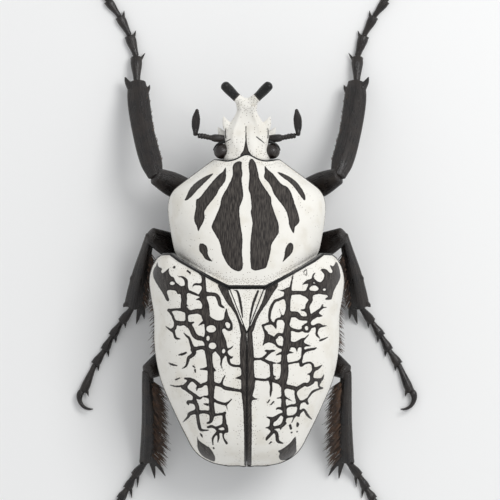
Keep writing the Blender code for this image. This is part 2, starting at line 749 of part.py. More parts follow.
def eye():
    """Left eye, a bulging ellipsoid cut clear of the head."""
    mesh = bmesh.new()
    bmesh.ops.create_uvsphere(mesh, u_segments=14, v_segments=8, radius=1.0)
    bmesh.ops.scale(mesh, vec=EYE_RADII, verts=mesh.verts)
    bmesh.ops.translate(mesh, vec=EYE_CENTRE, verts=mesh.verts)
    ball = new_object("eye_left", mesh, "eye_brown")
    return trim(ball, [head(GAP)])


def horn():
    """Fork of the horn: a short stem with an arm to each side."""
    stem = tube("horn", HORN_STEM, HORN_STEM_HALF, "glossy_black", sides=10)
    arms = []
    half = HORN_ARM_HALF
    halves = [(half * 1.15, half)] + [(half, half * 0.95)] * 2 + [(half * 0.96, half * 0.9)]
    for side in (1.0, -1.0):
        path = [(side * x, y, z) for x, y, z in HORN_ARM]
        arms.append(tube("arm", path, halves, "glossy_black", sides=8, blunt=(0.0, 1.0)))
    return trim(fuse(stem, arms), [head(GAP)])


def antenna_stem():
    """Left antenna's stem, cut clear of the head."""
    halves = [(half, half) for half in STEM_HALF]
    stem = tube("antenna_left", STEM, halves, "glossy_black", sides=7, blunt=(0.2, 0.2))
    return trim(stem, [head(GAP)])


def antenna_club():
    """Left antenna's club: three leaves that lie close and join at the root."""
    root = Vector(CLUB_ROOT)
    tip = Vector(CLUB_TIP)
    leaves = []
    for level in (-1.0, 0.0, 1.0):
        shift = Vector((0.0, 0.0, level * LEAF_STEP))
        path = [root.lerp(tip, share) + shift * (0.8 + 0.2 * math.sin(math.pi * share))
                for share in (0.0, 0.25, 0.55, 0.85)]
        halves = [(CLUB_HALF * 0.62, LEAF_THICK / 2.0), (CLUB_HALF * 0.95, LEAF_THICK / 2.0),
                  (CLUB_HALF, LEAF_THICK / 2.0), (CLUB_HALF * 0.62, LEAF_THICK / 2.0)]
        leaves.append(tube("leaf", path, halves, "glossy_black", sides=6, blunt=(0.0, 0.9)))
    knot_path = [root + Vector(step) for step in KNOT_PATH]
    knot = tube("antenna_club_left", knot_path, KNOT_HALF, "glossy_black", sides=8)
    return fuse(knot, leaves)


def palp():
    """Left palp, a short jointed feeler under the mouth."""
    halves = [(half, half) for half in PALP_HALF]
    feeler = tube("palp_left", PALP, halves, "glossy_black", sides=6, blunt=(0.1, 0.3))
    return trim(feeler, [head(GAP)])


# Legs

def sized(halves, share):
    """Side and upright half sizes at a share of a leg piece's length."""
    side = along([(at, a) for at, a, b in halves], share)
    upright = along([(at, b) for at, a, b in halves], share)
    return side, upright


def coxa(leg, name, body, grow=0.0):
    """Hip piece, a short barrel cut clear of the body it turns in."""
    halves = [(half, half * 0.9) for half in leg["coxa_half"]]
    barrel = tube(name, leg["coxa"], halves, "glossy_black", sides=8, blunt=(0.3, 0.5), grow=grow)
    if body:
        trim(barrel, body)
    return barrel


def femur(leg, name, grow=0.0):
    """Thigh from the end of the coxa to the knee."""
    start = Vector(leg["coxa"][-1])
    end = Vector(leg["knee"])
    shares = (0.0, 0.18, 0.45, 0.75, 0.94, 1.0)
    path = [start.lerp(end, share) for share in shares]
    halves = [sized(leg["femur_half"], share) for share in shares]
    halves[-1] = (halves[-1][0] * 0.8, halves[-1][1] * 0.8)
    return tube(name, path, halves, "glossy_black", sides=8, blunt=(0.2, 0.4), grow=grow)


def shin_path(leg, shares):
    """Points down the tibia's middle, bowed to the side."""
    start = Vector(leg["knee"])
    end = Vector(leg["ankle"])
    bow = outer_side(leg) * leg["bow"]
    return [start.lerp(end, share) + bow * math.sin(math.pi * share) for share in shares]


def outer_side(leg):
    """Direction away from the body, square to the tibia."""
    run = (Vector(leg["ankle"]) - Vector(leg["knee"])).normalized()
    aside = Vector((1.0, 0.0, 0.0))
    return (aside - run * aside.dot(run)).normalized()


def tibia(leg, name, grow=0.0):
    """Shin from the knee to the ankle, without its teeth."""
    shares = (0.0, 0.12, 0.3, 0.5, 0.7, 0.88, 1.0)
    halves = [sized(leg["tibia_half"], share) for share in shares]
    return tube(name, shin_path(leg, shares), halves, "glossy_black", sides=8, blunt=(0.3, 0.2), grow=grow)


def shin_edge(leg, share, side):
    """Point just under the tibia's outer (1) or inner (-1) edge, the way out and the way down."""
    centre, below = shin_path(leg, (share, share + 0.02))
    out = outer_side(leg) * side
    reach = sized(leg["tibia_half"], share)[0] - ROOT_DEPTH
    return centre + out * reach, out, (below - centre).normalized()


def tibia_teeth(leg):
    """Teeth of the tibia's edges and the long spurs at its ankle."""
    teeth = []
    for share, side, reach, lean, half in leg["teeth"]:
        root, out, down = shin_edge(leg, share, side)
        way = (out * (1.0 - lean) + down * lean).normalized()
        teeth.append(spike(root, root + way * (reach + ROOT_DEPTH), half, "glossy_black", bend=out * 0.12))
    return teeth


def tibia_fringe(leg, rng):
    """Comb of flat locks of hair along the tibia's inner edge."""
    if leg["fringe"] is None:
        return []
    count, first, last, shortest, longest, lean = leg["fringe"]
    locks = []
    for index in range(count):
        place = index / (count - 1)
        share = first + (last - first) * place
        root, out, down = shin_edge(leg, share, -1.0)
        reach = shortest + (longest - shortest) * math.sin(math.pi * (0.2 + 0.6 * place))
        reach *= 0.9 + 0.2 * rng.random()
        way = (out * (1.0 - lean) + down * lean).normalized()
        tip = root + way * (reach + ROOT_DEPTH)
        tip.z = max(tip.z - LOCK_SAG, 0.6)
        locks.append(blade(root, tip, LOCK_WIDTH, LOCK_THICK, "dark_hair", bend=(0.0, 0.0, 0.25)))
    return locks


def tarsus(leg, name):
    """Foot of five toe joints, each widening to its end and armed with a spine, along the floor."""
    joints = [Vector(leg["ankle"])] + [Vector(toe) for toe in leg["toes"]]
    path = []
    halves = []
    spines = []
    for index, (start, end) in enumerate(zip(joints, joints[1:])):
        last = index == len(joints) - 2
        widest = LAST_TOE_HALF if last else TOE_HALF_END
        stages = ((0.04, TOE_HALF_ROOT * 0.8), (0.2, TOE_HALF_ROOT), (0.72, widest), (0.93, widest * 0.97))
        for share, half in stages:
            path.append(start.lerp(end, share))
            halves.append((half, half * 0.95))
        run = (end - start).normalized()
        inward = Vector((-abs(run.y), math.copysign(abs(run.x), run.y), 0.0)).normalized()
        root = start.lerp(end, 0.84) + inward * (widest - 0.45)
        way = (inward * 0.55 + run * 0.8).normalized()
        tip = root + way * (leg["toe_spines"][index] + 0.45)
        tip.z = max(tip.z, 0.35)
        spines.append(spike(root, tip, 0.42, "glossy_black"))
    foot = tube(name, path, halves, "glossy_black", sides=6)
    return fuse(foot, spines)


def claws(leg, name):
    """Pair of hooked claws, one above the other, curling towards the body."""
    start = Vector(leg["toes"][-1])
    run = (start - Vector(leg["toes"][-2])).normalized()
    run.z = 0.0
    run.normalize()
    inward = Vector((-abs(run.y), math.copysign(abs(run.x), run.y), 0.0))
    hooks = []
    for splay in (1.0, -1.0):
        path = []
        halves = []
        for step in range(7):
            share = step / 6.0
            angle = CLAW_SWEEP * share
            point = start + run * (0.25 + CLAW_RADIUS * math.sin(angle))
            point += inward * (CLAW_RADIUS * (1.0 - math.cos(angle)) - 0.5)
            point.z = start.z + splay * CLAW_SPLAY * (0.25 + 0.75 * share)
            half = CLAW_HALF * (1.0 - 0.85 * share)
            path.append(point)
            halves.append((half, half))
        hooks.append(tube(name, path, halves, "glossy_black", sides=6, blunt=(0.0, 0.1)))
    return fuse(hooks[0], hooks[1:])


def build_leg(leg, place, body, parent, rng):
    """All five pieces of one left leg with their right-hand copies."""
    hip_piece = coxa(leg, place + "_coxa_left", [solid(GAP) for solid in body])
    thigh = femur(leg, place + "_femur_left")
    trim(thigh, [coxa(leg, "cutter", [], GAP)] + [solid(GAP) for solid in body])
    shin = tibia(leg, place + "_tibia_left")
    trim(shin, [femur(leg, "cutter", GAP)])
    fuse(shin, tibia_teeth(leg) + tibia_fringe(leg, rng))
    floor_flats(shin)
    foot = tarsus(leg, place + "_tarsus_left")
    trim(foot, [tibia(leg, "cutter", GAP)])
    floor_flats(foot)
    hooks = floor_flats(claws(leg, place + "_claws_left"))
    pair(hip_piece, leg["coxa"][0], parent)
    pair(thigh, leg["coxa"][-1], parent)
    pair(shin, leg["knee"], parent)
    pair(foot, leg["ankle"], parent)
    pair(hooks, leg["toes"][-1], parent)


def build_beetle():
    """The whole animal, standing over the middle of its own length."""
    beetle = bpy.data.objects.new("beetle", None)
    bpy.context.scene.collection.objects.link(beetle)
    beetle.location = (0.0, -MIDDLE_STATION * MM, 0.0)
    rng = random.Random(7)
    upper, lower = pronotum_grid(11, 21)
    hang(shell("pronotum", upper, lower, "chalk_white"), (0.0, 0.0, PRONOTUM_HANG), beetle)
    hang(prothorax_underside(), (0.0, PROTHORAX_REAR, TRUNK_HANG), beetle)
    hang(fuse(thorax(), flank_locks(rng)), (0.0, 0.0, TRUNK_HANG), beetle)
    hang(abdomen(), (0.0, THORAX_REAR, TRUNK_HANG), beetle)
    hang(pygidium(), (0.0, ABDOMEN_REAR, TAIL_HANG), beetle)
    hang(scutellum(), (0.0, 0.0, BACK_HANG), beetle)
    elytron = shell("elytron_left", elytron_grid(0.0, 11), elytron_grid(SHELL, 11), "chalk_white")
    pair(elytron, (SCUTELLUM_HALF, 0.0, BACK_HANG), beetle)
    hang(head(), (0.0, HEAD_REAR, NECK_HANG), beetle)
    hang(horn(), HORN_STEM[0], beetle)
    pair(eye(), EYE_CENTRE, beetle)
    pair(antenna_stem(), STEM[0], beetle)
    pair(antenna_club(), CLUB_ROOT, beetle)
    pair(palp(), PALP[0], beetle)
    build_leg(FORE_LEG, "fore", [prothorax_underside], beetle, rng)
    build_leg(MID_LEG, "mid", [prothorax_underside, thorax], beetle, rng)
    build_leg(HIND_LEG, "hind", [thorax, abdomen], beetle, rng)


clear_scene()
build_beetle()
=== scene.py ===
"""Looks of a goliath beetle, a still life-size model that stands on its six feet."""

import math

import bpy
import numpy as np
from mathutils import Matrix, Vector


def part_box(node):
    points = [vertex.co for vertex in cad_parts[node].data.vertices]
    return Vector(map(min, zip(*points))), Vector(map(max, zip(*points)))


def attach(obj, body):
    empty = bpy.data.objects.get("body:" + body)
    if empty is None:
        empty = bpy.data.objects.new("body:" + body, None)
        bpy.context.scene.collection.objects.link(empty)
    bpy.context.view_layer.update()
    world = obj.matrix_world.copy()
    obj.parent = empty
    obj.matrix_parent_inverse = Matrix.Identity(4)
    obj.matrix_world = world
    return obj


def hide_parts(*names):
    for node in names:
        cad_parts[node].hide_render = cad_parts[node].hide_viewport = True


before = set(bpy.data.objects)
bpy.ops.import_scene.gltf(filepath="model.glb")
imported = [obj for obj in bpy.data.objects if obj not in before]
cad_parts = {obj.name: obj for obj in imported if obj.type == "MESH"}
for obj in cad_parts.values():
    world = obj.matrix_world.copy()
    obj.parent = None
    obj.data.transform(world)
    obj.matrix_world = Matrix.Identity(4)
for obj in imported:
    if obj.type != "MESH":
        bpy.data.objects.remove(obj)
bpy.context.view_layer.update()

# Frame: the model's millimetres are counted from the middle of the pronotum's hind
# edge, X to the beetle's left, Y to its tail and Z up from the floor.
MM = 0.001
hind_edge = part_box("pronotum")[1].y


def placed(points):
    """Millimetre points as metres in the frame."""
    return np.asarray(points, float) * MM + (0.0, hind_edge, 0.0)


# Camera: straight over the back with the head at the top, through a very long lens,
# so that the high back and the low feet keep the same scale.
PICTURE_WIDTH = 117.2
PICTURE_MIDDLE = (-0.75, -8.67, 17.0)
LENS = 800.0
SENSOR = 36.0

camera_data = bpy.data.cameras.new("camera")
camera_data.lens = LENS
camera_data.sensor_width = SENSOR
camera_data.clip_end = 20.0
camera = bpy.data.objects.new("camera", camera_data)
camera.location = placed(PICTURE_MIDDLE)
camera.location.z += PICTURE_WIDTH * LENS / SENSOR * MM
camera.rotation_euler = (0.0, 0.0, math.pi)
bpy.context.scene.collection.objects.link(camera)
bpy.context.scene.camera = camera


# Pronotum: the shield over the front of the body, one arched plate of cuticle under a
# chalk-white velvet, with black bands, and a bare black bead round its edge.
SHELL_POWER = 2.4
RIM_SLOPE = 0.06
RIM = [(0.0, 16.5), (20.0, 16.3), (34.0, 16.2), (42.0, 17.2)]
PRONOTUM_FRONT = -29.9
HIND_ANGLE = -6.8
HIND_ANGLE_HALF = 15.85
HIND_EDGE_FLAT = 4.2
FRONT_LOBE = 1.3
FRONT_WAVE = 0.35
PRONOTUM_HALF = [(-29.9, 7.25), (-27.4, 10.6), (-25.1, 13.7), (-22.3, 17.1), (-19.2, 18.2),
                 (-13.8, 17.8), (-8.7, 16.8), (-6.8, 15.85)]
PRONOTUM_TOP = [(-29.9, 24.2), (-24.0, 28.4), (-18.0, 31.4), (-11.0, 33.3), (-5.0, 33.6), (0.0, 32.8)]
BEAD = 0.32
BEAD_WIDTH = 0.55
BEAD_GROOVE = 0.1
MIDLINE_FURROW = 0.12
SIDE_DIMPLE = 0.35

# Black bands of the pronotum, left side first, as they lie when seen from above
PRONOTUM_BANDS = [
    [(1.2, -29.2), (2.0, -29.4), (2.8, -29.0), (3.3, -28.2), (3.3, -26.4), (3.7, -25.0),
     (4.5, -23.4), (5.9, -20.8), (6.3, -18.8), (7.4, -16.2), (8.2, -14.2), (7.7, -12.9),
     (6.4, -10.6), (5.9, -8.4), (5.5, -7.2), (4.3, -5.1), (2.8, -3.9), (1.5, -3.8), (0.9, -5.0),
     (1.1, -8.0), (1.0, -11.6), (1.5, -15.0), (1.7, -18.4), (0.8, -21.2), (1.2, -25.0),
     (1.0, -26.4), (1.2, -28.0)],
    [(4.9, -28.0), (4.9, -25.4), (5.4, -24.2), (6.4, -22.9), (7.2, -21.4), (9.2, -18.8),
     (9.9, -17.6), (9.8, -16.4), (10.1, -15.2), (10.8, -14.0), (11.3, -13.0), (11.7, -14.2),
     (12.3, -15.8), (11.9, -18.6), (11.8, -20.4), (11.0, -20.9), (8.9, -23.6), (6.8, -26.0),
     (5.6, -27.0)],
    [(7.8, -26.5), (9.6, -24.6), (11.8, -22.4), (12.8, -21.2), (13.8, -20.4), (14.5, -20.3),
     (14.0, -21.4), (13.4, -22.8), (12.2, -24.2), (10.8, -25.2), (9.2, -26.1)],
    [(11.0, -10.0), (10.3, -10.2), (9.4, -9.6), (9.1, -8.8), (9.1, -7.8), (8.7, -6.9), (8.0, -6.0),
     (9.2, -6.3), (9.9, -6.8), (10.5, -7.8), (11.1, -8.6)],
    [(-1.0, -30.0), (-1.7, -29.6), (-2.2, -28.6), (-2.6, -27.0), (-3.0, -25.2), (-3.9, -23.6),
     (-5.6, -21.0), (-5.8, -19.4), (-6.8, -16.4), (-7.3, -15.2), (-7.5, -13.6), (-7.3, -12.4),
     (-5.8, -10.0), (-5.6, -8.6), (-5.0, -6.0), (-4.5, -4.6), (-3.6, -4.2), (-2.4, -3.9),
     (-1.5, -4.0), (-0.9, -5.0), (-0.8, -10.0), (-1.2, -13.8), (-1.3, -15.2), (-0.9, -17.6),
     (-1.1, -18.6), (-0.8, -21.6), (-0.4, -23.0), (-0.6, -26.0), (-0.4, -28.8)],
    [(-4.2, -28.3), (-5.0, -27.4), (-6.2, -26.4), (-7.9, -24.3), (-9.4, -23.4), (-10.2, -22.4),
     (-10.8, -20.8), (-11.2, -19.4), (-11.8, -17.8), (-12.3, -15.8), (-12.1, -14.9), (-11.3, -14.1),
     (-11.1, -13.2), (-11.0, -12.4), (-10.5, -13.1), (-9.9, -14.4), (-9.7, -15.8), (-9.3, -17.4),
     (-8.5, -18.8), (-6.4, -21.6), (-5.8, -23.2), (-4.9, -24.6), (-4.0, -25.6), (-4.2, -26.8)],
    [(-7.1, -26.9), (-8.6, -26.5), (-10.0, -25.8), (-11.4, -24.8), (-12.4, -23.6), (-13.3, -22.2),
     (-13.7, -21.0), (-13.5, -20.2), (-12.6, -21.2), (-11.0, -23.4), (-9.8, -24.6), (-8.4, -25.6)],
    [(-10.0, -10.4), (-10.8, -9.9), (-10.8, -8.8), (-10.4, -7.8), (-9.4, -6.8), (-8.3, -5.8),
     (-8.7, -7.0), (-8.9, -8.4), (-9.2, -9.4)],
]


def curve(knots, at):
    """Smooth curve through (station, value) knots, read at an array of stations."""
    stations, values = np.array(knots, float).T
    slopes = np.gradient(values, stations)
    slopes[1:-1] = (values[2:] - values[:-2]) / (stations[2:] - stations[:-2])
    index = np.clip(np.searchsorted(stations, at, side="right") - 1, 0, len(stations) - 2)
    span = stations[index + 1] - stations[index]
    t = np.clip((at - stations[index]) / span, 0.0, 1.0)
    rise = values[index + 1] - values[index]
    bend = slopes[index] * span * t * (1.0 - t) ** 2 + slopes[index + 1] * span * t * t * (t - 1.0)
    return values[index] + rise * t * t * (3.0 - 2.0 * t) + bend


def rim(station):
    """Height of the lower edge of the shell."""
    return np.where(station < 0.0, RIM[0][1] - RIM_SLOPE * station, curve(RIM, station))


def dome(x, half, low, high, power):
    """Height of an arched section at a distance x from the midline."""
    share = np.minimum(1.0, np.abs(x) / half)
    return low + (high - low) * (1.0 - share ** power) ** (1.0 / power)


def arch_shares(columns, power):
    """Shares of the half width from one side to the other, evenly spaced round an arch."""
    angle = np.linspace(-0.5, 0.5, columns) * math.pi
    return np.sign(angle) * np.abs(np.sin(angle)) ** (2.0 / power)


def bump(distance, width):
    """Round hump of height 1 that fades over a width."""
    return np.exp(-(distance / width) ** 2)


def fade(value, start, end):
    """Smooth step from 0 at start to 1 at end."""
    t = np.clip((value - start) / (end - start), 0.0, 1.0)
    return t * t * (3.0 - 2.0 * t)


def raised(grid, height):
    """Grid of points lifted along its own normals."""
    normal = np.cross(np.gradient(grid, axis=1), np.gradient(grid, axis=0))
    normal /= np.linalg.norm(normal, axis=2, keepdims=True) + 1e-9
    return grid + normal * height[..., None]


def new_piece(name, points, faces, material):
    """Smooth mesh object from millimetre points and the faces of closed surfaces."""
    mesh = bpy.data.meshes.new(name)
    mesh.from_pydata(placed(points), [], faces)
    mesh.update()
    mesh.shade_smooth()
    mesh.materials.append(material)
    piece = bpy.data.objects.new(name, mesh)
    bpy.context.scene.collection.objects.link(piece)
    return piece


def plate(name, outer, inner, material):
    """Closed solid between two grids of points with the same rows and columns."""
    rows, columns = outer.shape[:2]
    count = rows * columns
    index = np.arange(count).reshape(rows, columns)
    quads = np.stack([index[:-1, :-1], index[:-1, 1:], index[1:, 1:], index[1:, :-1]], axis=2)
    quads = quads.reshape(-1, 4)
    border = np.concatenate([index[0, :-1], index[:-1, -1], index[-1, :0:-1], index[:0:-1, 0]])
    after = np.roll(border, -1)
    wall = np.stack([border, border + count, after + count, after], axis=1)
    faces = np.concatenate([quads, quads[:, ::-1] + count, wall])
    points = np.concatenate([outer.reshape(-1, 3), inner.reshape(-1, 3)])
    a, b, c, d = points[faces].transpose(1, 0, 2)
    volume = (np.cross(b - a, c - a) * a).sum() + (np.cross(c - a, d - a) * a).sum()
    if volume < 0.0:
        faces = faces[:, ::-1]
    return new_piece(name, points, faces.tolist(), material)


def walked(points, axis):
    """Distance in mm run along one axis of a path or a grid of points."""
    steps = np.linalg.norm(np.diff(points, axis=axis), axis=-1)
    return np.insert(np.cumsum(steps, axis=axis), 0, 0.0, axis=axis)


def plate_skin(grid):
    """Places on a grid rolled out flat: distances from its middle column and first row."""
    across, down = walked(grid, 1), walked(grid, 0)
    across = across - across[:, grid.shape[1] // 2, None]
    return np.stack([across, down, np.zeros_like(down)], axis=2).reshape(-1, 3)


def note_place(piece, name, places):
    """Store a place for each point of a piece, for its material to read."""
    attribute = piece.data.attributes.new(name, "FLOAT_VECTOR", "POINT")
    attribute.data.foreach_set("vector", np.asarray(places, np.float32).ravel())


def note_skin(piece, skin, **numbers):
    """Store each point's numbers and its place on the skin, for the material to read."""
    for name, values in numbers.items():
        values = np.broadcast_to(np.asarray(values, np.float32).ravel(), len(piece.data.vertices))
        attribute = piece.data.attributes.new(name, "FLOAT", "POINT")
        attribute.data.foreach_set("value", np.ascontiguousarray(values))
    note_place(piece, "skin", skin)


def note_shell(shell, outer, depth, pits, from_edge):
    """Marks, pits and bare bead of a shell's outer face; its inner face is bare all over."""
    inner = np.full(depth.size, -1.0)
    bare = (BEAD_WIDTH - from_edge).ravel()
    note_skin(shell, np.tile(plate_skin(outer), (2, 1)), mark=[depth, inner],
              pits=[pits.ravel(), inner], bare=[bare, -inner])


def settle(piece, slot, *nodes):
    """A finished piece rides on the body and stands for CAD nodes; its slot is not used."""
    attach(piece, "root")
    if nodes:
        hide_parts(*nodes)


def rounded(knots, closed):
    """Knots of a stroke or an outline with three more on a smooth curve after each."""
    knots = np.asarray(knots, float)
    before, after = (knots[-1:], knots[:2]) if closed else (knots[:1], knots[-1:])
    padded = np.concatenate([before, knots, after])
    a, b, c, d = padded[:-3], padded[1:-2], padded[2:-1], padded[3:]
    t = np.array((0.0, 0.25, 0.5, 0.75))[:, None, None]
    square, cube = 2.0 * a - 5.0 * b + 4.0 * c - d, 3.0 * b - a - 3.0 * c + d
    fine = b + 0.5 * ((c - a) * t + square * t ** 2 + cube * t ** 3)
    fine = fine.transpose(1, 0, 2).reshape(-1, knots.shape[1])
    return np.concatenate([fine, fine[:1] if closed else knots[-1:]])


def line_depth(points, line):
    """How deep points lie inside a line of (x, y, half width) points; negative outside."""
    depth = np.full(len(points), -9.0)
    for start, end in zip(line, line[1:]):
        run = end[:2] - start[:2]
        reach = points - start[:2]
        t = np.clip(reach @ run / max(run @ run, 1e-9), 0.0, 1.0)
        away = np.hypot(*(reach - t[:, None] * run).T)
        depth = np.maximum(depth, start[2] + (end[2] - start[2]) * t - away)
    return depth


def stroke_depth(points, stroke):
    """How deep points lie inside a smooth stroke of (x, y, half width) knots."""
    return line_depth(points, rounded(stroke, False))


def patch_depth(points, outline):
    """How deep points lie inside a smooth closed outline; negative outside it."""
    line = rounded(outline, True)
    away = -line_depth(points, np.pad(line, ((0, 0), (0, 1))))
    inside = np.zeros(len(points), bool)
    x, y = points.T
    for (x0, y0), (x1, y1) in zip(line, line[1:]):
        if y0 != y1:
            inside ^= ((y0 > y) != (y1 > y)) & (x < x0 + (x1 - x0) * (y - y0) / (y1 - y0))
    return np.where(inside, away, -away)


def fill(tree, node, inputs):
    """Give inputs of a node their values, or the sockets that feed them."""
    for key, value in inputs.items():
        if isinstance(value, bpy.types.NodeSocket):
            tree.links.new(value, node.inputs[key])
        else:
            node.inputs[key].default_value = value
    return node


def wire(tree, kind, inputs=(), **settings):
    """New shader node with its settings and its inputs."""
    made = tree.nodes.new(kind)
    for key, value in settings.items():
        setattr(made, key, value)
    return fill(tree, made, dict(inputs))


def sums(tree, operation, *values):
    """Output of a Math node."""
    return wire(tree, "ShaderNodeMath", enumerate(values), operation=operation).outputs[0]


def ramp(tree, value, start, end, low=0.0, high=1.0):
    """A value mapped smoothly from one range to another."""
    inputs = {0: value, 1: start, 2: end, 3: low, 4: high}
    return wire(tree, "ShaderNodeMapRange", inputs, interpolation_type="SMOOTHSTEP").outputs[0]


def blend(tree, share, first, second):
    """Colour mixed from two colours."""
    inputs = {0: share, 6: first, 7: second}
    return wire(tree, "ShaderNodeMix", inputs, data_type="RGBA").outputs[2]


def millimetres(tree, stretch=(1.0, 1.0, 1.0)):
    """Coordinates on the piece in millimetres, stretched for grain that runs one way."""
    place = wire(tree, "ShaderNodeTexCoord").outputs["Object"]
    scale = [value / MM for value in stretch]
    return wire(tree, "ShaderNodeMapping", {0: place, 3: scale}).outputs[0]


def noise(tree, place, scale, detail=3.0, rough=0.5):
    """Noise value between 0 and 1 with its lumps 1/scale mm across."""
    inputs = {"Vector": place, "Scale": scale, "Detail": detail, "Roughness": rough}
    return wire(tree, "ShaderNodeTexNoise", inputs).outputs[0]


def new_group(name, inputs, outputs):
    """Empty shader node group with named number sockets; gives its tree, inputs and end."""
    tree = bpy.data.node_groups.new(name, "ShaderNodeTree")
    number = {"socket_type": "NodeSocketFloat"}
    for label, value in inputs.items():
        tree.interface.new_socket(label, in_out="INPUT", **number).default_value = value
    for label in outputs:
        tree.interface.new_socket(label, in_out="OUTPUT", **number)
    return tree, tree.nodes.new("NodeGroupInput").outputs, tree.nodes.new("NodeGroupOutput")


def use(tree, group, **inputs):
    """Place a node group in a material; gives its outputs."""
    return wire(tree, "ShaderNodeGroup", inputs, node_tree=group).outputs


def read(tree, name, output="Fac"):
    """A number, or as a Vector a place, that the piece stores at its points."""
    settings = {"attribute_type": "GEOMETRY", "attribute_name": name}
    return wire(tree, "ShaderNodeAttribute", **settings).outputs[output]


def bumps(tree, height, depth, strength):
    """Normal of a surface with a relief as deep as depth in mm."""
    inputs = {"Height": height, "Distance": depth * MM, "Strength": strength}
    return wire(tree, "ShaderNodeBump", inputs).outputs[0]


def new_material(name):
    """Material with one plain shader; gives the material, its tree and the shader."""
    material = bpy.data.materials.new(name)
    material.use_nodes = True
    return material, material.node_tree, material.node_tree.nodes["Principled BSDF"]


def punctures_group():
    """Fine round pits in the cuticle, sown at random with a given density."""
    inputs = {"Spacing": 0.5, "Radius": 0.15, "Density": 0.2}
    tree, given, end = new_group("Punctures", inputs, ("Mask",))
    scale = sums(tree, "DIVIDE", 1.0, given["Spacing"])
    inputs = {"Vector": read(tree, "skin", "Vector"), "Scale": scale}
    cells = wire(tree, "ShaderNodeTexVoronoi", inputs, voronoi_dimensions="2D")
    across = sums(tree, "MULTIPLY", cells.outputs["Distance"], given["Spacing"])
    rounding = ramp(tree, across, given["Radius"], 0.0)
    draw = wire(tree, "ShaderNodeSeparateColor", {0: cells.outputs["Color"]}).outputs[0]
    sown = sums(tree, "LESS_THAN", draw, given["Density"])
    tree.links.new(sums(tree, "MULTIPLY", rounding, sown), end.inputs["Mask"])
    return tree


def ink_group():
    """Edge of a painted mark: a mask with a ragged border, and a band along that border."""
    inputs = {"Depth": 0.0, "Ragged": 0.12, "Soft": 0.07}
    tree, given, end = new_group("Mark edge", inputs, ("Mask", "Border"))
    wander = noise(tree, millimetres(tree), 1.6, 4.0, 0.6)
    shift = sums(tree, "MULTIPLY", sums(tree, "SUBTRACT", wander, 0.5), given["Ragged"])
    depth = sums(tree, "MULTIPLY_ADD", shift, 2.0, given["Depth"])
    outer = sums(tree, "MULTIPLY", given["Soft"], -1.0)
    tree.links.new(ramp(tree, depth, outer, given["Soft"]), end.inputs["Mask"])
    away = sums(tree, "ABSOLUTE", sums(tree, "SUBTRACT", depth, 0.12))
    tree.links.new(ramp(tree, away, 0.26, 0.05), end.inputs["Border"])
    return tree


def nap_group():
    """Velvet of minute hairs: fine streaks along the body, and soft clouds in the pile."""
    tree, given, end = new_group("Nap", {"Streak length": 2.2, "Streak width": 0.2},
                                 ("Streaks", "Clouds", "Height"))
    along = wire(tree, "ShaderNodeCombineXYZ", {
        0: sums(tree, "DIVIDE", 1.0, given["Streak width"]),
        1: sums(tree, "DIVIDE", 1.0, given["Streak length"]),
        2: sums(tree, "DIVIDE", 1.0, given["Streak width"])}).outputs[0]
    drawn = {0: read(tree, "skin", "Vector"), 1: along}
    place = wire(tree, "ShaderNodeVectorMath", drawn, operation="MULTIPLY").outputs[0]
    streaks = noise(tree, place, 1.0, 2.0, 0.55)
    tree.links.new(ramp(tree, streaks, 0.38, 0.66), end.inputs["Streaks"])
    clouds = noise(tree, millimetres(tree), 0.22, 3.0)
    tree.links.new(ramp(tree, clouds, 0.35, 0.7), end.inputs["Clouds"])
    pile = noise(tree, millimetres(tree), 9.0, 2.0)
    tree.links.new(sums(tree, "MULTIPLY_ADD", streaks, 0.6, pile), end.inputs["Height"])
    return tree


PUNCTURES = punctures_group()
MARK_EDGE = ink_group()
NAP = nap_group()
CHALK = (0.87, 0.85, 0.79, 1.0)
CHALK_SHADE = (0.74, 0.70, 0.61, 1.0)
PIT_BROWN = (0.16, 0.12, 0.085, 1.0)
VELVET_BLACK = (0.012, 0.009, 0.008, 1.0)
VELVET_NAP = (0.075, 0.065, 0.056, 1.0)
BARE_BLACK = (0.006, 0.006, 0.006, 1.0)


def velvet(name, pit_spacing=0.5, pit_radius=0.15):
    """White velvet with black marks, fine pits and a bare black edge, read from the piece."""
    material, tree, shader = new_material(name)
    nap = use(tree, NAP)
    ink = use(tree, MARK_EDGE, Depth=read(tree, "mark"))
    density = read(tree, "pits")
    pits = use(tree, PUNCTURES, Spacing=pit_spacing, Radius=pit_radius, Density=density)["Mask"]
    bare = use(tree, MARK_EDGE, Depth=read(tree, "bare"), Ragged=0.08, Soft=0.06)["Mask"]
    ground = blend(tree, nap["Clouds"], CHALK, CHALK_SHADE)
    ground = blend(tree, sums(tree, "MULTIPLY", nap["Clouds"], 0.55), CHALK, ground)
    ground = blend(tree, sums(tree, "MULTIPLY", pits, 0.9), ground, PIT_BROWN)
    pile = sums(tree, "MULTIPLY", nap["Streaks"], sums(tree, "SUBTRACT", 1.0, ink["Border"]))
    dark = blend(tree, pile, VELVET_BLACK, VELVET_NAP)
    colour = blend(tree, bare, blend(tree, ink["Mask"], ground, dark), BARE_BLACK)
    rough = ramp(tree, ink["Mask"], 0.0, 1.0, 0.9, 0.62)
    rough = sums(tree, "MULTIPLY_ADD", sums(tree, "SUBTRACT", 0.24, rough), bare, rough)
    height = sums(tree, "MULTIPLY_ADD", pits, -2.2, nap["Height"])
    height = sums(tree, "MULTIPLY_ADD", ink["Mask"], -0.8, height)
    fill(tree, shader, {"Base Color": colour, "Roughness": rough,
                        "Normal": bumps(tree, height, 0.05, 0.7), "Specular IOR Level": 0.3,
                        "Sheen Weight": 0.25, "Sheen Roughness": 0.45})
    return material


def grid_of(x, y, z):
    """Grid of points from coordinates that may each run along one side of it only."""
    return np.stack(np.broadcast_arrays(x, y, z), axis=2)


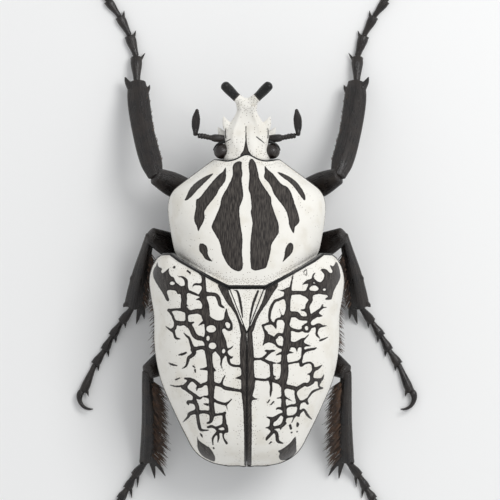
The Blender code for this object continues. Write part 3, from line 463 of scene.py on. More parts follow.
def pronotum_grid(rows, columns):
    """Points of the pronotum's arch from its wavy front margin to its hind edge."""
    v = np.linspace(0.0, 1.0, rows)[:, None]
    share = arch_shares(columns, SHELL_POWER)[None, :]
    at_side = PRONOTUM_FRONT + (HIND_ANGLE - PRONOTUM_FRONT) * v
    at_middle = PRONOTUM_FRONT * (1.0 - v)
    x = curve(PRONOTUM_HALF, at_side) * share
    across = np.abs(share) * HIND_ANGLE_HALF
    slant = np.clip((across - HIND_EDGE_FLAT) / (HIND_ANGLE_HALF - HIND_EDGE_FLAT), 0.0, 1.0)
    slant = slant - 0.035 * np.sin(math.pi * slant)
    y = at_middle + (at_side - at_middle) * slant
    lobe = -FRONT_LOBE * bump(x, 1.9) + FRONT_WAVE * bump(np.abs(x) - 4.6, 1.8)
    y = y + lobe * (1.0 - v) ** 8
    z = dome(x, curve(PRONOTUM_HALF, at_side), rim(y), curve(PRONOTUM_TOP, at_middle), SHELL_POWER)
    return grid_of(x, y, z)


def edge_distance(grid, sides):
    """Distance in mm of each point of a grid from its nearest named edge."""
    down, across = walked(grid, 0), walked(grid, 1)
    reach = {"front": down, "rear": down[-1:] - down,
             "first": across, "last": across[:, -1:] - across}
    return np.minimum.reduce([reach[side] for side in sides])


grid = pronotum_grid(150, 200)
from_edge = edge_distance(grid, ("front", "rear", "first", "last"))
from_rear = edge_distance(grid, ("rear",))
x, y = grid[..., 0], grid[..., 1]
relief = BEAD * bump(from_edge - 0.3, 0.34) - BEAD_GROOVE * bump(from_edge - 1.0, 0.3)
relief -= MIDLINE_FURROW * bump(x, 0.5) * fade(y, -4.0, -12.0) * fade(y, -29.0, -24.0)
relief -= SIDE_DIMPLE * bump(np.hypot(np.abs(x) - 14.5, (y + 12.0) * 0.8), 2.2)
outer = raised(grid, relief)
inner = grid.copy()
inner[..., 2] = rim(y) - 0.05
pronotum = plate("pronotum_shield", outer, inner, velvet("pronotum_velvet"))
flat = outer.reshape(-1, 3)[:, :2]
depth = np.maximum.reduce([patch_depth(flat, band) for band in PRONOTUM_BANDS])
pits = 0.04 + 0.8 * fade(from_rear, 3.2, 0.6) + 0.45 * bump(from_edge - 1.5, 0.5)
pits += 0.3 * fade(from_edge, 3.4, 1.2)
note_shell(pronotum, outer, depth, pits, from_edge)
settle(pronotum, "white_shell", "pronotum")


# Scutellum: the small white triangle between the bases of the elytra, one flat piece
# of cuticle with the same velvet, streaked with black beside its edges.
SCUTELLUM_HALF = 4.2
SCUTELLUM_LENGTH = 10.8
SCUTELLUM_BEAD = 0.2
SCUTELLUM_PITS = 0.45
GAP = 0.3
SHELL_THICK = 0.9
ELYTRA_HALF = [(-7.0, 20.6), (-4.5, 22.0), (-1.5, 22.6), (2.5, 22.2), (6.5, 21.6), (14.3, 21.4),
               (21.6, 20.0), (28.1, 17.3), (35.1, 13.85), (39.0, 11.1), (41.0, 7.9), (41.8, 4.2)]
ELYTRA_TOP = [(0.0, 32.4), (8.0, 33.5), (20.0, 32.6), (30.0, 30.2), (35.0, 28.0), (38.5, 25.2),
              (40.8, 21.3), (41.8, 17.9)]
SCUTELLUM_STREAKS = [
    [(2.9, 0.7, 0.1), (2.2, 1.0, 0.25), (1.8, 2.2, 0.3), (1.45, 3.8, 0.3), (1.2, 5.4, 0.25),
     (0.95, 7.2, 0.1)],
    [(-2.6, 0.9, 0.25), (-2.1, 2.2, 0.3), (-1.5, 3.8, 0.3), (-1.1, 5.6, 0.25), (-0.8, 7.2, 0.2),
     (-0.6, 8.8, 0.1)],
]


def scutellum_half(station):
    """Half width of the scutellum at stations along it."""
    return np.maximum(0.0, SCUTELLUM_HALF * (1.0 - station / SCUTELLUM_LENGTH))


v = np.linspace(0.0, 1.0, 70)[:, None]
y = GAP + (SCUTELLUM_LENGTH - 0.6 - GAP) * v
x = scutellum_half(y) * np.linspace(-1.0, 1.0, 50)[None, :]
z = dome(x, curve(ELYTRA_HALF, y), rim(y), curve(ELYTRA_TOP, y), SHELL_POWER)
grid = grid_of(x, y, z)
from_edge = edge_distance(grid, ("front", "first", "last"))
outer = raised(grid, 0.12 * bump(from_edge - 0.2, 0.2) + 0.15 * bump(x, 0.7) * fade(y, 1.0, 6.0))
inner = grid - (0.0, 0.0, SHELL_THICK)
scutellum = plate("scutellum_shield", outer, inner, velvet("scutellum_velvet", 0.42, 0.13))
flat = outer.reshape(-1, 3)[:, :2]
depth = np.maximum.reduce([stroke_depth(flat, streak) for streak in SCUTELLUM_STREAKS])
bare = SCUTELLUM_BEAD - from_edge
note_skin(scutellum, np.tile(plate_skin(outer), (2, 1)), mark=[depth, depth], pits=SCUTELLUM_PITS,
          bare=[bare, bare])
settle(scutellum, "white_shell", "scutellum")


# Elytra: the two horny wing cases that meet in the suture, chalk white with a net of
# black marks, each a little different, with a knob at the shoulder and near the tail.
SUTURE = 0.02
SEAM = 0.06
SHOULDER_HALF = 20.6
ELYTRA_FRONT = [(4.5, 0.3), (15.9, -6.4), (17.8, -7.9), (19.6, -7.8), (20.6, -7.0)]
TAIL_END = 41.8
FRONT_SWEEP = 7.3
SWEEP_REACH = 31.0
ELYTRA_MESH = (260, 124)
SHOULDER_KNOB = 0.4
TAIL_KNOB = 0.35
SUTURE_RIDGE = 0.16
# Faint ribs along a wing case, as (share of its half width, height)
RIBS = ((0.3, 0.1), (0.58, 0.08))
# How softly marks that meet run into each other, in mm
WEBBING = 0.15

# Marks as strokes of (x, y, half width), x counted outwards from the suture
LEFT_STROKES = [
    [(16.0, -2.5, 0.1), (14.9, -2.3, 0.25), (14.2, -1.6, 0.4), (14.1, -0.5, 0.4), (14.2, 0.5, 0.6)],
    [(14.7, 0.6, 0.9), (14.7, 1.8, 0.75), (14.6, 3.2, 0.7), (14.8, 4.3, 0.65), (14.6, 5.2, 0.6)],
    [(14.2, 4.1, 0.2), (13.6, 4.4, 0.1)],
    [(18.2, 5.4, 0.3), (16.5, 5.2, 0.3), (14.8, 5.3, 0.4)],
    [(18.2, 5.4, 0.3), (17.4, 6.5, 0.3), (17.0, 7.5, 0.3), (16.4, 8.1, 0.3), (14.2, 8.3, 0.3)],
    [(14.0, 5.3, 0.5), (13.5, 5.9, 0.5), (11.5, 5.6, 0.6), (10.6, 5.8, 0.7), (9.8, 6.0, 0.8)],
    [(14.0, 5.5, 0.35), (14.0, 7.8, 0.35), (13.8, 8.5, 0.35)],
    [(16.5, 8.2, 0.35), (15.6, 8.6, 0.45), (14.6, 8.5, 0.4), (13.6, 8.9, 0.6), (13.0, 9.5, 0.6),
     (12.3, 11.0, 0.6), (11.6, 11.7, 0.6), (10.8, 11.9, 0.5)],
    [(13.6, 8.5, 0.3), (12.4, 8.2, 0.2)],
    [(16.6, 8.6, 0.35), (16.8, 9.5, 0.4), (17.5, 10.0, 0.35), (18.1, 9.8, 0.25), (19.0, 9.1, 0.1)],
    [(17.2, 10.0, 0.35), (16.9, 11.0, 0.3), (16.5, 11.9, 0.3), (15.4, 12.1, 0.1)],
    [(14.7, 10.7, 0.12), (14.0, 11.4, 0.25), (13.4, 12.0, 0.3), (12.7, 13.9, 0.4),
     (12.0, 14.3, 0.45), (10.3, 14.1, 0.45), (8.8, 14.8, 0.5), (8.0, 14.9, 0.5)],
    [(11.6, -4.2, 0.1), (11.0, -3.2, 0.2), (10.2, -2.6, 0.45), (10.0, -0.4, 0.5), (10.0, 0.7, 0.6),
     (10.2, 1.8, 0.75), (10.0, 3.0, 0.8), (9.6, 4.2, 0.8), (9.6, 6.2, 1.0), (9.4, 7.2, 0.9),
     (7.6, 8.4, 0.7)],
    [(12.6, -0.2, 0.15), (12.0, -0.7, 0.25), (10.4, -0.6, 0.3)],
    [(14.0, 0.9, 0.35), (13.0, 1.2, 0.35), (12.0, 1.6, 0.3), (11.2, 1.9, 0.25), (10.5, 1.6, 0.5)],
    [(11.9, 2.9, 0.1), (11.0, 2.8, 0.3), (10.2, 3.0, 0.4)],
    [(9.6, 1.6, 0.5), (8.4, 1.6, 0.45), (7.3, 1.8, 0.45), (6.6, 2.6, 0.5), (6.2, 4.1, 0.4),
     (5.4, 4.7, 0.25)],
    [(4.75, 5.1, 0.15), (4.8, 6.2, 0.4), (4.7, 7.2, 0.6), (5.0, 8.0, 0.6)],
    [(8.8, 7.9, 0.5), (6.4, 8.4, 0.5), (5.3, 8.1, 0.5)],
    [(4.7, 7.3, 0.5), (3.9, 8.0, 0.35), (3.6, 8.8, 0.3), (3.7, 9.7, 0.4), (4.3, 9.9, 0.3),
     (4.9, 9.5, 0.25), (5.3, 8.9, 0.35)],
    [(10.2, 8.2, 0.35), (11.2, 8.9, 0.1)],
    [(10.8, 11.9, 0.4), (10.2, 12.2, 0.35), (9.7, 12.8, 0.35), (9.4, 13.6, 0.35)],
    [(12.6, 14.6, 0.5), (12.3, 15.4, 0.5), (13.0, 16.1, 0.45), (13.6, 16.6, 0.4),
     (14.1, 18.3, 0.25), (15.1, 19.0, 0.1)],
    [(8.9, 14.9, 0.9), (8.7, 17.2, 0.75), (8.4, 19.6, 0.75), (8.4, 22.2, 0.85), (8.3, 23.4, 0.85),
     (8.3, 25.4, 0.65), (8.2, 27.3, 0.6), (8.1, 29.4, 0.65), (8.4, 31.3, 0.4), (9.2, 31.7, 0.2)],
    [(7.2, 14.4, 0.4), (6.4, 15.2, 0.5), (5.8, 16.0, 0.5), (5.9, 17.0, 0.25), (6.0, 18.2, 0.2),
     (5.5, 19.4, 0.1)],
    [(5.0, 15.2, 0.4), (4.4, 16.0, 0.35), (4.3, 17.0, 0.35), (3.9, 17.9, 0.3), (3.0, 18.3, 0.3),
     (1.1, 18.4, 0.3)],
    [(4.6, 14.6, 0.2), (3.9, 14.3, 0.2), (3.3, 13.8, 0.15)],
    [(4.2, 16.2, 0.25), (3.6, 16.4, 0.25), (3.3, 16.1, 0.15)],
    [(10.8, 19.1, 0.15), (9.2, 19.0, 0.4)],
    [(7.8, 19.0, 0.25), (7.2, 19.5, 0.12)],
    [(9.0, 22.4, 0.4), (10.0, 22.6, 0.35), (10.9, 23.0, 0.45), (12.2, 21.9, 0.4),
     (13.2, 21.5, 0.35), (14.4, 21.3, 0.25)],
    [(13.2, 21.7, 0.35), (14.6, 23.2, 0.5), (15.4, 23.1, 0.25), (16.5, 23.2, 0.2),
     (17.9, 22.9, 0.12)],
    [(11.1, 23.1, 0.25), (11.6, 23.5, 0.25), (11.7, 24.1, 0.12)],
    [(14.6, 23.4, 0.5), (13.8, 24.1, 0.4), (12.4, 25.1, 0.4), (11.1, 25.9, 0.35), (10.4, 25.6, 0.15)],
    [(12.2, 25.4, 0.3), (12.2, 26.3, 0.4), (11.6, 27.8, 0.5), (11.6, 28.7, 0.5)],
    [(12.2, 26.9, 0.4), (13.7, 26.8, 0.4), (13.6, 27.4, 0.2)],
    [(11.6, 29.0, 0.5), (13.3, 29.6, 0.45), (13.7, 30.3, 0.3), (14.9, 31.6, 0.1)],
    [(11.4, 29.2, 0.4), (9.9, 29.1, 0.4), (8.4, 29.4, 0.5)],
    [(11.5, 29.6, 0.4), (11.4, 30.8, 0.4), (11.0, 32.8, 0.4), (10.5, 33.4, 0.3), (8.8, 33.4, 0.1)],
    [(10.9, 34.2, 0.1), (10.6, 34.6, 0.25), (10.4, 35.0, 0.12)],
    [(9.9, 25.5, 0.2), (9.2, 25.6, 0.3)],
    [(10.0, 27.2, 0.15), (9.2, 27.4, 0.3)],
    [(7.8, 22.5, 0.4), (6.1, 22.9, 0.4), (5.0, 23.5, 0.45), (3.0, 23.9, 0.4), (1.2, 24.2, 0.3)],
    [(5.9, 22.5, 0.3), (5.6, 21.6, 0.2), (5.1, 20.6, 0.15)],
    [(2.6, 21.2, 0.1), (1.6, 21.1, 0.4), (1.0, 21.1, 0.6)],
    [(7.6, 26.3, 0.3), (6.8, 26.8, 0.35), (4.9, 27.2, 0.3), (3.5, 26.1, 0.12)],
    [(4.9, 27.3, 0.2), (4.5, 28.6, 0.08)],
    [(7.8, 29.8, 0.35), (5.8, 29.6, 0.3), (5.1, 29.3, 0.3)],
    [(5.3, 29.8, 0.35), (5.2, 31.8, 0.5), (4.9, 32.6, 0.5), (4.6, 33.6, 0.35)],
    [(5.6, 32.3, 0.4), (7.2, 32.8, 0.3), (8.2, 32.5, 0.35), (9.1, 32.7, 0.25)],
    [(7.0, 33.2, 0.3), (6.2, 33.7, 0.3), (5.0, 33.7, 0.3)],
    [(6.8, 33.8, 0.3), (7.9, 35.2, 0.25), (7.9, 36.8, 0.15)],
    [(6.7, 34.2, 0.3), (6.6, 35.2, 0.25), (6.8, 36.2, 0.12)],
    [(5.4, 34.0, 0.25), (5.5, 35.0, 0.2), (4.7, 36.5, 0.3)],
    [(13.8, -3.8, 0.25), (13.2, -3.3, 0.25)],
    [(15.8, 15.8, 0.2), (14.9, 15.6, 0.3), (14.2, 15.3, 0.25)],
    [(18.3, 17.7, 0.12), (17.4, 18.1, 0.25), (16.3, 18.3, 0.15)],
    [(16.6, 21.6, 0.22), (15.6, 21.2, 0.12)],
    [(12.5, 18.4, 0.2), (12.1, 18.7, 0.15)],
    [(12.1, 19.3, 0.25), (12.0, 19.8, 0.2)],
    [(7.7, 37.7, 0.2), (7.8, 37.6, 0.2)],
    [(16.9, -4.7, 0.3), (17.0, -4.6, 0.3)],
    [(5.6, -0.4, 1.1), (4.9, 1.5, 0.85), (4.1, 3.2, 0.7), (3.2, 4.7, 0.45), (2.5, 6.0, 0.35),
     (1.9, 7.4, 0.3), (1.4, 8.8, 0.4), (0.9, 10.2, 0.6)],
    [(0.7, 9.5, 0.5), (0.8, 13.0, 0.8), (0.8, 17.0, 0.8), (0.65, 20.0, 0.65), (0.65, 24.0, 0.65),
     (0.45, 28.0, 0.45), (0.4, 30.0, 0.4), (0.3, 34.0, 0.35), (0.3, 41.5, 0.3)],
]
LEFT_PATCHES = [
    [(20.9, -5.8), (20.7, -4.9), (19.8, -4.3), (20.0, -3.7), (19.7, -3.3), (19.2, -3.6),
     (18.1, -4.5), (18.2, -3.7), (17.8, -2.7), (17.0, -2.2), (16.5, -1.2), (15.1, 0.1), (15.2, 1.2),
     (16.1, 1.6), (16.6, 0.9), (18.0, 0.7), (18.6, 1.1), (18.1, 3.0), (18.7, 3.2), (19.7, 1.3),
     (20.9, -0.5), (21.9, -2.5), (21.8, -4.1), (21.3, -4.9)],
    [(9.8, 7.6), (9.9, 9.2), (9.8, 10.6), (10.1, 12.2), (9.6, 13.2), (9.4, 14.6), (8.4, 15.0),
     (7.2, 14.6), (6.6, 15.6), (5.6, 16.3), (4.9, 15.6), (4.5, 14.6), (4.8, 12.5), (5.5, 10.8),
     (5.7, 9.9), (5.2, 9.4), (4.9, 8.2), (5.6, 7.8), (7.4, 7.8), (8.6, 7.4)],
    [(11.6, 35.0), (11.2, 35.8), (9.4, 37.1), (8.7, 37.5), (7.6, 39.2), (7.4, 40.2), (7.6, 40.8),
     (8.6, 40.6), (10.2, 39.7), (11.0, 38.8), (11.5, 37.6), (11.6, 36.2)],
]
# White islands inside the marks, as (x, y, half width, half length)
LEFT_ISLANDS = [(17.4, -0.9, 0.55, 0.4), (4.6, 8.6, 0.4, 0.5), (8.3, 9.7, 1.1, 0.85),
                (9.05, 11.9, 0.38, 0.6), (8.0, 13.65, 0.85, 0.75), (5.4, 14.9, 0.35, 0.5),
                (5.9, 33.1, 0.6, 0.25)]
RIGHT_STROKES = [
    [(13.0, -0.6, 0.1), (14.0, -1.2, 0.4), (14.9, -1.4, 0.5), (15.6, -1.6, 0.35), (16.4, -1.1, 0.3),
     (17.0, -0.7, 0.4)],
    [(15.5, -1.7, 0.25), (15.4, -2.6, 0.2), (15.8, -3.2, 0.15)],
    [(14.9, -0.7, 0.5), (14.3, 0.2, 0.3), (14.3, 1.0, 0.5)],
    [(15.2, -0.6, 0.2), (16.2, -0.5, 0.2), (16.9, 0.1, 0.2)],
    [(9.5, 1.2, 0.6), (10.6, 1.3, 0.5), (12.5, 1.3, 0.45), (13.3, 1.5, 0.6), (14.4, 1.5, 0.7),
     (16.2, 1.3, 0.4)],
    [(7.3, 0.6, 0.12), (8.3, 0.8, 0.2), (9.2, 0.7, 0.3)],
    [(10.1, 0.6, 0.3), (10.5, -1.5, 0.2), (10.8, -3.0, 0.12)],
    [(9.5, 0.8, 0.7), (9.5, 2.2, 0.85), (9.6, 3.6, 0.6), (9.6, 5.0, 0.55), (9.4, 7.4, 0.9),
     (9.4, 8.6, 0.6), (9.4, 10.6, 0.9), (9.3, 14.0, 0.9), (8.8, 15.0, 0.7), (8.7, 16.2, 0.7),
     (8.8, 18.6, 0.9), (8.8, 20.0, 0.95), (8.4, 22.2, 0.9), (8.5, 23.2, 0.6), (8.4, 24.4, 0.4),
     (8.6, 26.8, 0.55), (8.6, 27.6, 0.6), (8.8, 28.6, 0.5), (8.9, 30.4, 0.4), (8.4, 32.2, 0.4)],
    [(10.0, 6.3, 0.7), (11.6, 6.4, 0.7), (12.6, 7.2, 0.55), (14.6, 7.3, 0.5)],
    [(12.6, 5.3, 0.15), (13.5, 5.4, 0.3), (14.2, 5.6, 0.4)],
    [(14.5, 2.0, 0.75), (14.9, 3.0, 0.5), (14.2, 4.2, 0.5), (14.2, 5.2, 0.5), (14.6, 7.2, 0.4),
     (14.4, 8.9, 0.5)],
    [(14.9, 6.8, 0.4), (15.8, 6.2, 0.4), (16.6, 5.6, 0.35), (17.4, 4.9, 0.25), (17.7, 4.0, 0.1)],
    [(17.6, 4.8, 0.2), (18.6, 4.7, 0.12)],
    [(16.4, 6.2, 0.3), (16.9, 6.6, 0.35), (17.6, 6.7, 0.12)],
    [(15.0, 7.5, 0.3), (16.0, 6.9, 0.3), (16.6, 6.6, 0.3)],
    [(13.2, 9.2, 0.4), (13.4, 10.2, 0.3), (14.3, 10.3, 0.3), (14.7, 9.6, 0.3), (14.5, 8.8, 0.3),
     (13.6, 8.8, 0.3)],
    [(9.9, 9.5, 0.4), (10.8, 9.9, 0.35), (12.0, 10.2, 0.35), (13.2, 9.9, 0.3)],
    [(14.8, 9.3, 0.4), (15.8, 9.1, 0.3), (16.8, 8.9, 0.5), (17.6, 9.1, 0.3), (18.6, 9.0, 0.1)],
    [(16.6, 9.4, 0.4), (16.3, 10.4, 0.3), (16.4, 11.2, 0.3), (17.0, 11.9, 0.12)],
    [(17.0, 12.5, 0.2), (17.8, 12.2, 0.25), (18.9, 11.7, 0.1)],
    [(8.6, 2.4, 0.3), (7.4, 2.9, 0.35), (6.4, 3.4, 0.35), (5.4, 5.6, 0.35), (5.4, 7.8, 0.3),
     (6.6, 9.0, 0.3), (6.8, 9.8, 0.1)],
    [(5.6, 8.3, 0.3), (4.6, 8.6, 0.3), (3.6, 8.9, 0.12)],
    [(6.6, 8.8, 0.25), (6.9, 7.6, 0.3), (7.8, 7.3, 0.3), (8.8, 7.2, 0.5)],
    [(7.6, 5.1, 0.12), (8.0, 6.3, 0.15), (8.4, 7.0, 0.3)],
    [(3.7, 8.9, 0.2), (4.0, 9.8, 0.25), (4.6, 10.6, 0.35)],
    [(6.9, 11.6, 0.5), (7.4, 11.0, 0.4), (8.4, 11.2, 0.35)],
    [(9.9, 13.0, 0.5), (11.2, 13.2, 0.4), (12.9, 12.3, 0.4), (13.6, 11.9, 0.2), (14.4, 11.1, 0.1)],
    [(12.8, 12.8, 0.5), (12.9, 13.6, 0.4)],
    [(10.5, 13.5, 0.5), (11.7, 13.5, 0.6), (12.9, 13.4, 0.5), (14.8, 13.7, 0.1)],
    [(11.6, 14.0, 0.25), (11.7, 14.9, 0.15)],
    [(10.9, 15.3, 0.1), (10.0, 15.2, 0.25), (9.4, 15.4, 0.3)],
    [(13.1, 13.8, 0.3), (12.9, 16.2, 0.25), (12.6, 17.2, 0.35), (12.6, 18.2, 0.35)],
    [(13.2, 15.4, 0.3), (13.8, 14.8, 0.35), (15.6, 14.4, 0.3), (16.3, 14.1, 0.12)],
    [(9.6, 17.8, 0.25), (11.8, 17.4, 0.25), (12.3, 17.2, 0.3)],
    [(12.9, 18.2, 0.25), (13.6, 17.8, 0.25), (14.6, 17.6, 0.25), (15.3, 18.0, 0.3),
     (15.6, 18.9, 0.35), (16.4, 19.0, 0.4), (17.6, 18.2, 0.1)],
    [(15.6, 19.4, 0.4), (15.2, 20.4, 0.4), (15.2, 22.2, 0.45)],
    [(14.2, 20.3, 0.12), (14.9, 20.3, 0.3)],
    [(15.4, 21.6, 0.4), (17.3, 21.6, 0.35), (17.8, 21.0, 0.2), (18.0, 20.5, 0.1)],
    [(17.0, 22.2, 0.4), (16.8, 22.8, 0.25), (17.0, 23.3, 0.2), (17.7, 23.6, 0.15)],
    [(17.5, 23.7, 0.15), (15.6, 24.3, 0.3), (14.3, 25.8, 0.2), (13.9, 26.5, 0.3), (14.2, 27.2, 0.3)],
    [(15.0, 22.3, 0.5), (14.2, 22.8, 0.45), (13.4, 22.7, 0.45), (11.8, 23.6, 0.45),
     (11.0, 23.5, 0.5), (9.0, 23.1, 0.5)],
    [(11.6, 23.9, 0.4), (11.4, 24.9, 0.3), (12.0, 26.6, 0.5), (12.9, 26.7, 0.3), (13.7, 26.5, 0.35)],
    [(11.9, 27.2, 0.4), (11.2, 27.6, 0.35), (10.4, 27.6, 0.3), (9.4, 27.9, 0.25)],
    [(12.1, 27.4, 0.4), (12.0, 28.6, 0.3), (11.9, 29.5, 0.4), (12.1, 30.0, 0.3)],
    [(10.6, 26.6, 0.1), (9.2, 25.8, 0.2), (8.8, 25.6, 0.2)],
    [(12.2, 29.4, 0.3), (12.8, 28.9, 0.35), (13.4, 28.7, 0.3), (14.3, 30.1, 0.3), (15.2, 30.9, 0.12)],
    [(11.6, 29.7, 0.3), (10.8, 30.1, 0.25), (9.2, 30.3, 0.3)],
    [(11.1, 30.3, 0.2), (10.5, 31.6, 0.1)],
    [(1.2, 16.7, 0.3), (3.6, 16.6, 0.3), (5.2, 15.2, 0.35), (6.0, 14.8, 0.3), (6.6, 14.8, 0.15)],
    [(4.4, 14.8, 0.25), (5.0, 14.9, 0.3)],
    [(3.8, 16.9, 0.35), (4.8, 17.4, 0.4), (5.6, 18.0, 0.45), (5.8, 20.2, 0.4), (5.9, 21.2, 0.5),
     (6.6, 21.9, 0.45), (7.6, 22.0, 0.6)],
    [(5.6, 17.5, 0.25), (6.7, 17.7, 0.15)],
    [(6.9, 15.8, 0.15), (7.8, 15.4, 0.3)],
    [(7.3, 17.7, 0.2), (8.2, 17.7, 0.3)],
    [(6.2, 20.8, 0.2), (6.7, 20.8, 0.12)],
    [(1.9, 21.4, 0.3), (4.2, 21.6, 0.3), (5.3, 21.3, 0.35)],
    [(5.5, 22.0, 0.4), (5.7, 23.2, 0.3), (5.6, 24.4, 0.3), (5.5, 25.6, 0.12)],
    [(7.1, 25.9, 0.15), (8.4, 25.7, 0.2)],
    [(2.5, 26.1, 0.1), (1.6, 26.0, 0.3), (1.2, 25.9, 0.5)],
    [(4.8, 27.0, 0.15), (5.3, 26.3, 0.15)],
    [(5.5, 27.5, 0.12), (6.3, 26.7, 0.2)],
    [(6.9, 28.5, 0.15), (7.4, 28.2, 0.3), (8.8, 28.6, 0.3)],
    [(4.7, 30.3, 0.15), (5.6, 30.6, 0.35), (6.4, 30.8, 0.6), (7.8, 29.7, 0.3), (8.4, 29.8, 0.4)],
    [(5.9, 31.2, 0.5), (5.6, 32.7, 0.4)],
    [(4.4, 32.8, 0.12), (5.2, 32.8, 0.3)],
    [(5.8, 32.8, 0.4), (7.4, 32.6, 0.35), (9.0, 31.8, 0.3)],
    [(7.9, 33.3, 0.1), (7.9, 32.6, 0.3)],
    [(5.8, 33.2, 0.35), (5.9, 33.9, 0.4), (4.8, 35.2, 0.35), (4.6, 35.7, 0.2)],
    [(6.1, 33.6, 0.3), (6.9, 34.1, 0.4), (7.2, 35.8, 0.4), (7.8, 36.3, 0.3), (8.5, 36.5, 0.12)],
    [(5.2, 36.6, 0.12), (5.7, 36.2, 0.2)],
    [(10.1, 32.3, 0.3), (10.3, 33.0, 0.3)],
    [(11.8, 31.7, 0.2), (11.9, 32.1, 0.35), (11.8, 32.6, 0.2)],
    [(10.4, 34.0, 0.2), (10.5, 34.0, 0.2)],
    [(11.7, 33.8, 0.2), (11.8, 33.8, 0.2)],
    [(13.2, -3.5, 0.1), (13.9, -4.1, 0.1), (13.9, -2.6, 0.1), (13.2, -3.5, 0.1)],
    [(6.0, -0.6, 1.3), (5.2, 1.2, 0.9), (4.3, 3.2, 0.65), (3.3, 5.0, 0.45), (2.4, 6.6, 0.4),
     (1.7, 8.2, 0.4), (1.2, 9.8, 0.5)],
    [(0.7, 9.5, 0.5), (0.8, 15.0, 0.8), (0.85, 19.0, 0.85), (0.95, 23.0, 0.95), (0.6, 26.0, 0.6),
     (0.6, 32.0, 0.6), (0.55, 41.5, 0.55)],
]
RIGHT_PATCHES = [
    [(19.4, -5.1), (20.2, -4.9), (20.9, -5.9), (21.5, -4.9), (21.9, -3.0), (21.7, -1.7),
     (20.4, 0.8), (20.0, 2.2), (19.7, 2.9), (18.2, 2.9), (18.9, 2.2), (18.6, 1.9), (16.6, 1.5),
     (16.4, 1.0), (17.0, 0.0), (16.4, -0.7), (17.3, -1.2), (17.9, -2.0), (18.0, -3.0), (17.2, -4.1),
     (18.3, -4.3), (19.4, -3.4), (20.0, -3.6)],
    [(3.8, 9.4), (4.3, 10.6), (5.4, 11.0), (6.4, 11.7), (7.2, 13.3), (8.4, 13.8), (8.6, 14.4),
     (7.4, 14.2), (6.2, 13.2), (5.0, 12.9), (4.0, 13.4), (3.6, 14.0), (3.9, 12.4), (4.1, 11.0)],
    [(11.4, 35.0), (11.6, 37.8), (11.5, 38.8), (10.0, 40.2), (8.8, 40.6), (7.8, 40.4), (7.5, 39.6),
     (7.7, 38.9), (7.3, 38.3), (8.3, 37.8), (9.4, 37.0), (10.4, 36.1)],
]
RIGHT_ISLANDS = [(18.1, 0.6, 0.35, 0.25), (13.9, 9.5, 0.4, 0.4), (7.8, 12.2, 0.7, 0.8)]


def front_share(x):
    """How far forward the elytra's front edge lies across them, 0 inside and 1 at the side."""
    stations, values = np.array(ELYTRA_FRONT).T
    return (np.interp(x, stations, values) - values[0]) / (values[-1] - values[0])


def elytron_grid(rows, columns, inset):
    """Points of the arch of one wing case, or of a surface set in under it."""
    v = np.linspace(0.0, 1.0, rows)[:, None]
    corner = ELYTRA_HALF[0][0]
    at_side = TAIL_END - (TAIL_END - corner) * (1.0 - v) ** 1.25
    sweep = np.maximum(0.0, 1.0 - (at_side - corner) / SWEEP_REACH) ** 1.6
    at_suture = at_side + FRONT_SWEEP * sweep
    half = curve(ELYTRA_HALF, at_side)
    inner = np.maximum(SUTURE, scutellum_half(at_suture) + SEAM)
    start = np.arcsin(np.minimum(1.0, (inner / half) ** (SHELL_POWER / 2.0)))
    angle = start + (math.pi / 2.0 - start) * np.linspace(0.0, 1.0, columns)[None, :]
    share = np.sin(angle) ** (2.0 / SHELL_POWER)
    x = np.maximum(inner, (half - inset) * share)
    reach = np.maximum(0.0, (half * share - inner) / (half - inner))
    front_x = ELYTRA_FRONT[0][0] + (SHOULDER_HALF - ELYTRA_FRONT[0][0]) * reach
    y = at_suture + (at_side - at_suture) * front_share(front_x)
    z = dome(x, half - inset, rim(at_side), curve(ELYTRA_TOP, at_suture) - inset, SHELL_POWER)
    return grid_of(x, y, z)


def wing_case(name, side, strokes, patches, islands, material):
    """One wing case with its knobs, ribs, bead and marks; side is 1 left and -1 right."""
    grid = elytron_grid(*ELYTRA_MESH, 0.0)
    from_edge = edge_distance(grid, ("front", "rear", "last"))
    from_suture = edge_distance(grid, ("first",))
    from_side = edge_distance(grid, ("last",))
    x, y = grid[..., 0], grid[..., 1]
    height = BEAD * bump(from_edge - 0.28, 0.3) - BEAD_GROOVE * bump(from_edge - 0.95, 0.3)
    height += SHOULDER_KNOB * bump(np.hypot(x - 17.3, (y + 1.5) * 0.8), 3.2)
    height += TAIL_KNOB * bump(np.hypot(x - 10.5, y - 36.8), 2.6)
    height += SUTURE_RIDGE * bump(from_suture - 0.7, 0.7) * fade(y, 9.0, 14.0)
    for place, rise in RIBS:
        line = place * curve(ELYTRA_HALF, y)
        height += rise * bump(x - line, 0.8) * fade(y, 2.0, 9.0) * fade(y, 37.0, 30.0)
    outer = raised(grid, height)
    inner = elytron_grid(*ELYTRA_MESH, SHELL_THICK)
    flat = outer[..., :2].reshape(-1, 2)
    depths = np.stack([stroke_depth(flat, stroke) for stroke in strokes]
                      + [patch_depth(flat, patch) for patch in patches])
    peak = depths.max(axis=0)
    depth = peak + WEBBING * np.log(np.exp((depths - peak) / WEBBING).sum(axis=0))
    for at_x, at_y, wide, long in islands:
        away = np.hypot((flat[:, 0] - at_x) / wide, (flat[:, 1] - at_y) / long) - 1.0
        depth = np.minimum(depth, away * min(wide, long))
    pits = 0.03 + 0.55 * bump(from_side - 1.5, 0.7) + 0.3 * fade(from_edge, 3.5, 1.0)
    pits = pits.ravel() + 0.22 * fade(depth, -1.1, -0.25)
    pits += 0.35 * bump(from_suture - 2.0, 0.6).ravel()
    outer[..., 0] *= side
    inner[..., 0] *= side
    case = plate(name, outer, inner, material)
    note_shell(case, outer, depth, pits, from_edge)
    return case


